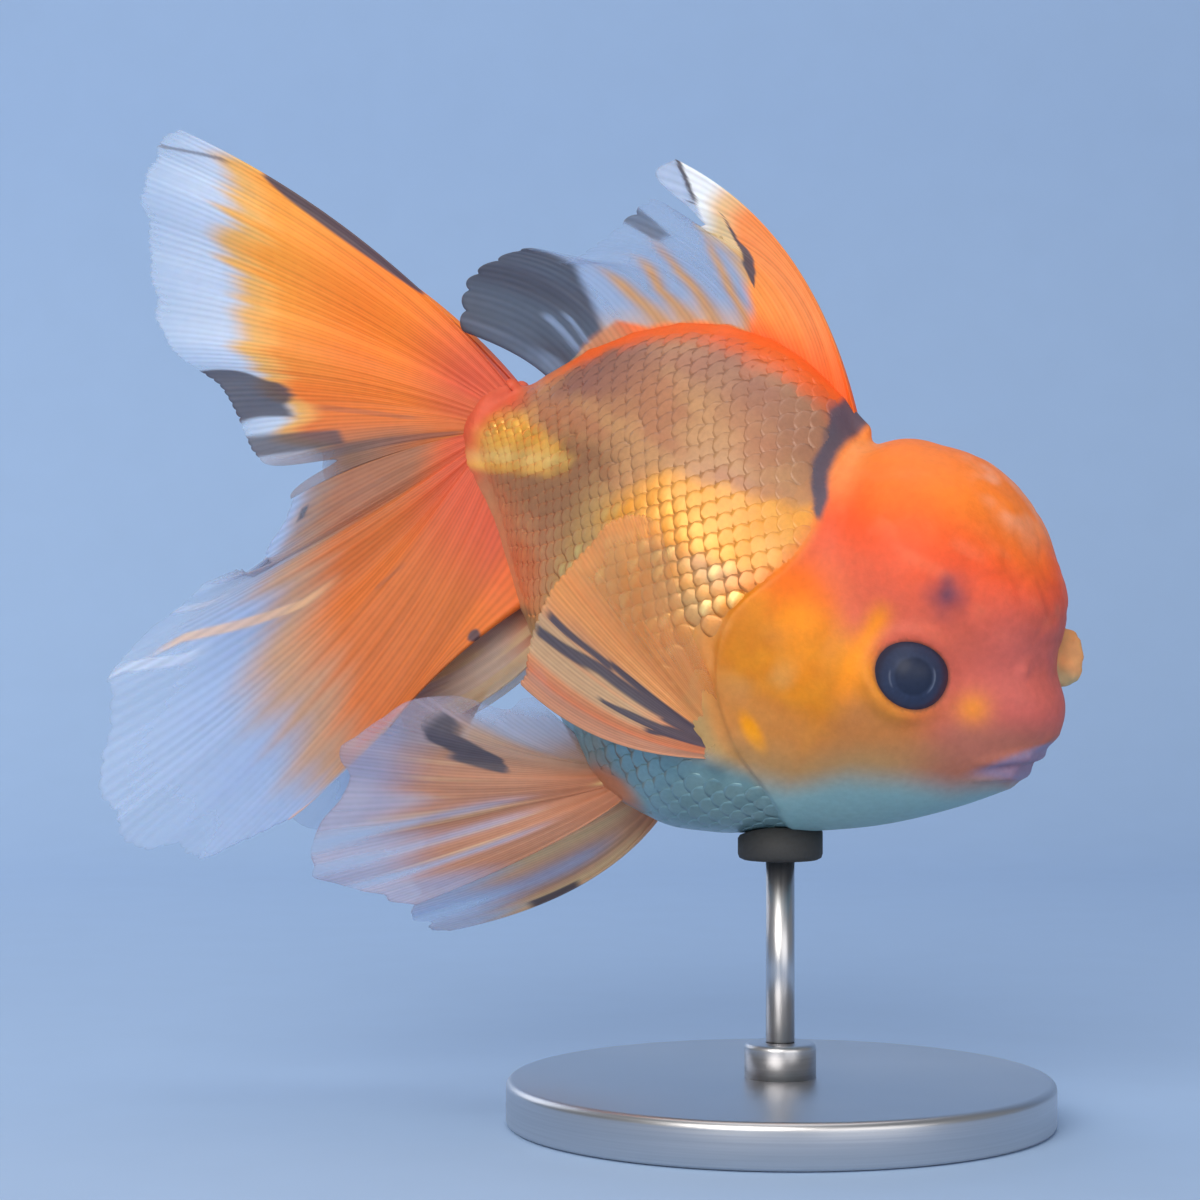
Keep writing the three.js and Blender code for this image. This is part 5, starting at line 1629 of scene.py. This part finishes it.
# ---- the stand
def turned_piece(name, profile, sides, material, node):
    """A solid of revolution about the rod's axis, from (radius, height) points."""
    profile = np.array(profile, float)
    turn = 2 * np.pi * np.arange(sides) / sides
    radius, height = profile.T
    ring = np.stack([radius[:, None] * np.cos(turn), radius[:, None] * np.sin(turn),
                     np.repeat(height[:, None], sides, 1)], -1)
    grid = np.arange(ring[..., 0].size).reshape(len(profile), sides)
    piece = mesh_object(name, ring.reshape(-1, 3), flipped(ring_faces(grid)), material, in_fish=False)
    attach(piece, "root")
    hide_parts(node)


def rounded_corner(radius, height, size, start, steps=6):
    """Points of a quarter circle about (radius, height), from the given angle."""
    angles = np.radians(start + np.linspace(0, 90, steps + 1))
    return [(radius + size * math.cos(a), height + size * math.sin(a)) for a in angles]


CENTRE = 0.02               # a turned profile starts this near the axis


def add_stand():
    r, h, e = BASE_RADIUS, BASE_HEIGHT, BASE_EDGE
    base = [(CENTRE, 0), (r - e, 0)]
    base += [(r - 0.25, 0.25), (r, 0.7)]
    base += rounded_corner(r - e, h - e, e, 0)
    base += [(CENTRE, h)]
    turned_piece("stand_base_turned", base, 160, STEEL_TOP, "stand_base")
    low = BASE_HEIGHT
    bore = ROD_RADIUS + 0.05
    collar = [(bore, low), (COLLAR_RADIUS, low)]
    collar += rounded_corner(COLLAR_RADIUS - 0.8, low + COLLAR_HEIGHT - 0.8 + GAP, 0.8, 0)
    collar += [(bore, low + COLLAR_HEIGHT + GAP)]
    turned_piece("stand_collar_turned", collar, 96, STEEL_TOP, "stand_collar")
    rod = [(CENTRE, low), (ROD_RADIUS, low), (ROD_RADIUS, ROD_TOP + 1), (CENTRE, ROD_TOP + 1)]
    turned_piece("stand_rod_turned", rod, 64, STEEL_ROD, "stand_rod")
    add_cup()


def belly_height(x, y):
    """The height, in the model's frame, where the belly comes down to over a point of the stand."""
    low = np.full(x.shape, float(ROD_TOP))
    high = np.full(x.shape, 75.0)
    for _ in range(30):
        half = (low + high) / 2
        points = from_row(np.stack([x, y, half], -1).reshape(-1, 3))
        free = (body(*points.T) > 0.02).reshape(x.shape)
        low = np.where(free, half, low)
        high = np.where(free, high, half)
    return low


def add_cup():
    """The soft cup that the belly rests in."""
    sides, steps = 96, 16
    turn = 2 * np.pi * np.arange(sides) / sides
    bottom = ROD_TOP + GAP
    edge = CUP_RADIUS
    rise = [(CENTRE, bottom), (edge - 0.8, bottom), (edge - 0.2, bottom + 0.3), (edge, bottom + 0.9)]
    rings = [np.stack([r * np.cos(turn), r * np.sin(turn), np.full(sides, z)], 1) for r, z in rise]
    radii = CUP_RADIUS * np.sin(np.linspace(np.pi / 2, 0, steps + 1))
    for r in np.maximum(radii, CENTRE):
        x, y = r * np.cos(turn), r * np.sin(turn)
        top = np.minimum(belly_height(x, y), CUP_RIM)
        rings.append(np.stack([x, y, np.maximum(top, bottom + 1) - 0.5 * ramp(0.94, 1, r / CUP_RADIUS)], 1))
    faces = flipped(ring_faces(np.arange(len(rings) * sides).reshape(len(rings), sides)))
    piece = mesh_object("stand_cup_pad", np.concatenate(rings), faces, RUBBER, in_fish=False)
    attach(piece, "root")
    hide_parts("stand_cup")


# ---- studio
CAMERA_AT = (-27.6, -470, 80)
LENS = 92.07                # millimetres, on a sensor 36 wide
STAGE_COLOUR = srgb(168, 196, 232)


def add_stage():
    """A pale sheet that runs along the floor and curves up behind the fish."""
    m = Shader("studio_sheet")
    grain = m.noise(60, 2)
    colour = m.add("RGB")
    colour.outputs[0].default_value = (*STAGE_COLOUR, 1)
    m.set(Base_Color=m.tint(colour.outputs[0], grain, 0.98, 1.02), Roughness=0.85)
    profile = [(-900, 0), (-400, 0), (0, 0), (300, 0)]
    bend = 260
    for a in np.radians(np.linspace(-90, 0, 25)):
        profile.append((420 + bend * math.cos(a), bend + bend * math.sin(a)))
    profile.append((420 + bend, 1600))
    points = [(x, y, z) for y, z in profile for x in (-1500, 1500)]
    count = len(profile)
    faces = [(2 * i, 2 * i + 1, 2 * i + 3, 2 * i + 2) for i in range(count - 1)]
    mesh_object("studio_backdrop", points, faces, m.material, in_fish=False)


def add_light(name, place, size, power, colour):
    light = bpy.data.lights.new(name, "AREA")
    light.shape = "DISK"
    light.size = size
    light.energy = power
    light.color = colour
    lamp = bpy.data.objects.new(name, light)
    lamp.location = place
    aim = np.array([-0.03, 0, 0.08]) - np.array(place)
    flat = math.hypot(aim[0], aim[1])
    lamp.rotation_euler = (math.atan2(flat, -aim[2]), 0, math.atan2(aim[1], aim[0]) - math.pi / 2)
    bpy.context.scene.collection.objects.link(lamp)


def add_studio():
    scene = bpy.context.scene
    camera = bpy.data.cameras.new("camera")
    camera.lens = LENS
    camera.sensor_width = 36
    camera.clip_start = 0.01
    eye = bpy.data.objects.new("camera", camera)
    eye.location = np.array(CAMERA_AT) * MM
    eye.rotation_euler = (math.pi / 2, 0, 0)
    scene.collection.objects.link(eye)
    scene.camera = eye
    add_light("key", (-0.3, -0.8, 0.5), 0.8, 6.6, (1.0, 0.95, 0.88))
    add_light("fill", (0.5, -0.8, 0.15), 0.8, 2.6, (1.0, 0.96, 0.92))
    add_light("top", (0.0, 0.1, 0.85), 0.8, 1.8, (1.0, 1.0, 1.0))
    add_light("rim", (-0.5, 0.45, 0.35), 0.5, 0.8, (0.95, 0.97, 1.0))
    world = bpy.data.worlds.new("studio")
    world.use_nodes = True
    world.node_tree.nodes["Background"].inputs[0].default_value = (0.9, 0.94, 1.0, 1)
    world.node_tree.nodes["Background"].inputs[1].default_value = 0.26
    scene.world = world
    scene.view_settings.view_transform = "Standard"
    add_stage()


# ---- put together
FLESH = flesh_material()
SCALES = scale_material()
MEMBRANE = fin_material()
EYE = eye_material()
STEEL_TOP = steel_material("brushed_steel", (30, 30, 3000))
STEEL_ROD = steel_material("brushed_rod", (2500, 2500, 25))
RUBBER = rubber_material()

add_skin()
add_scales()
for fin, facts in FINS.items():
    add_fin(fin, **facts)
add_eye("eye_right", RIGHT)
add_eye("eye_left", LEFT)
add_stand()
add_studio()
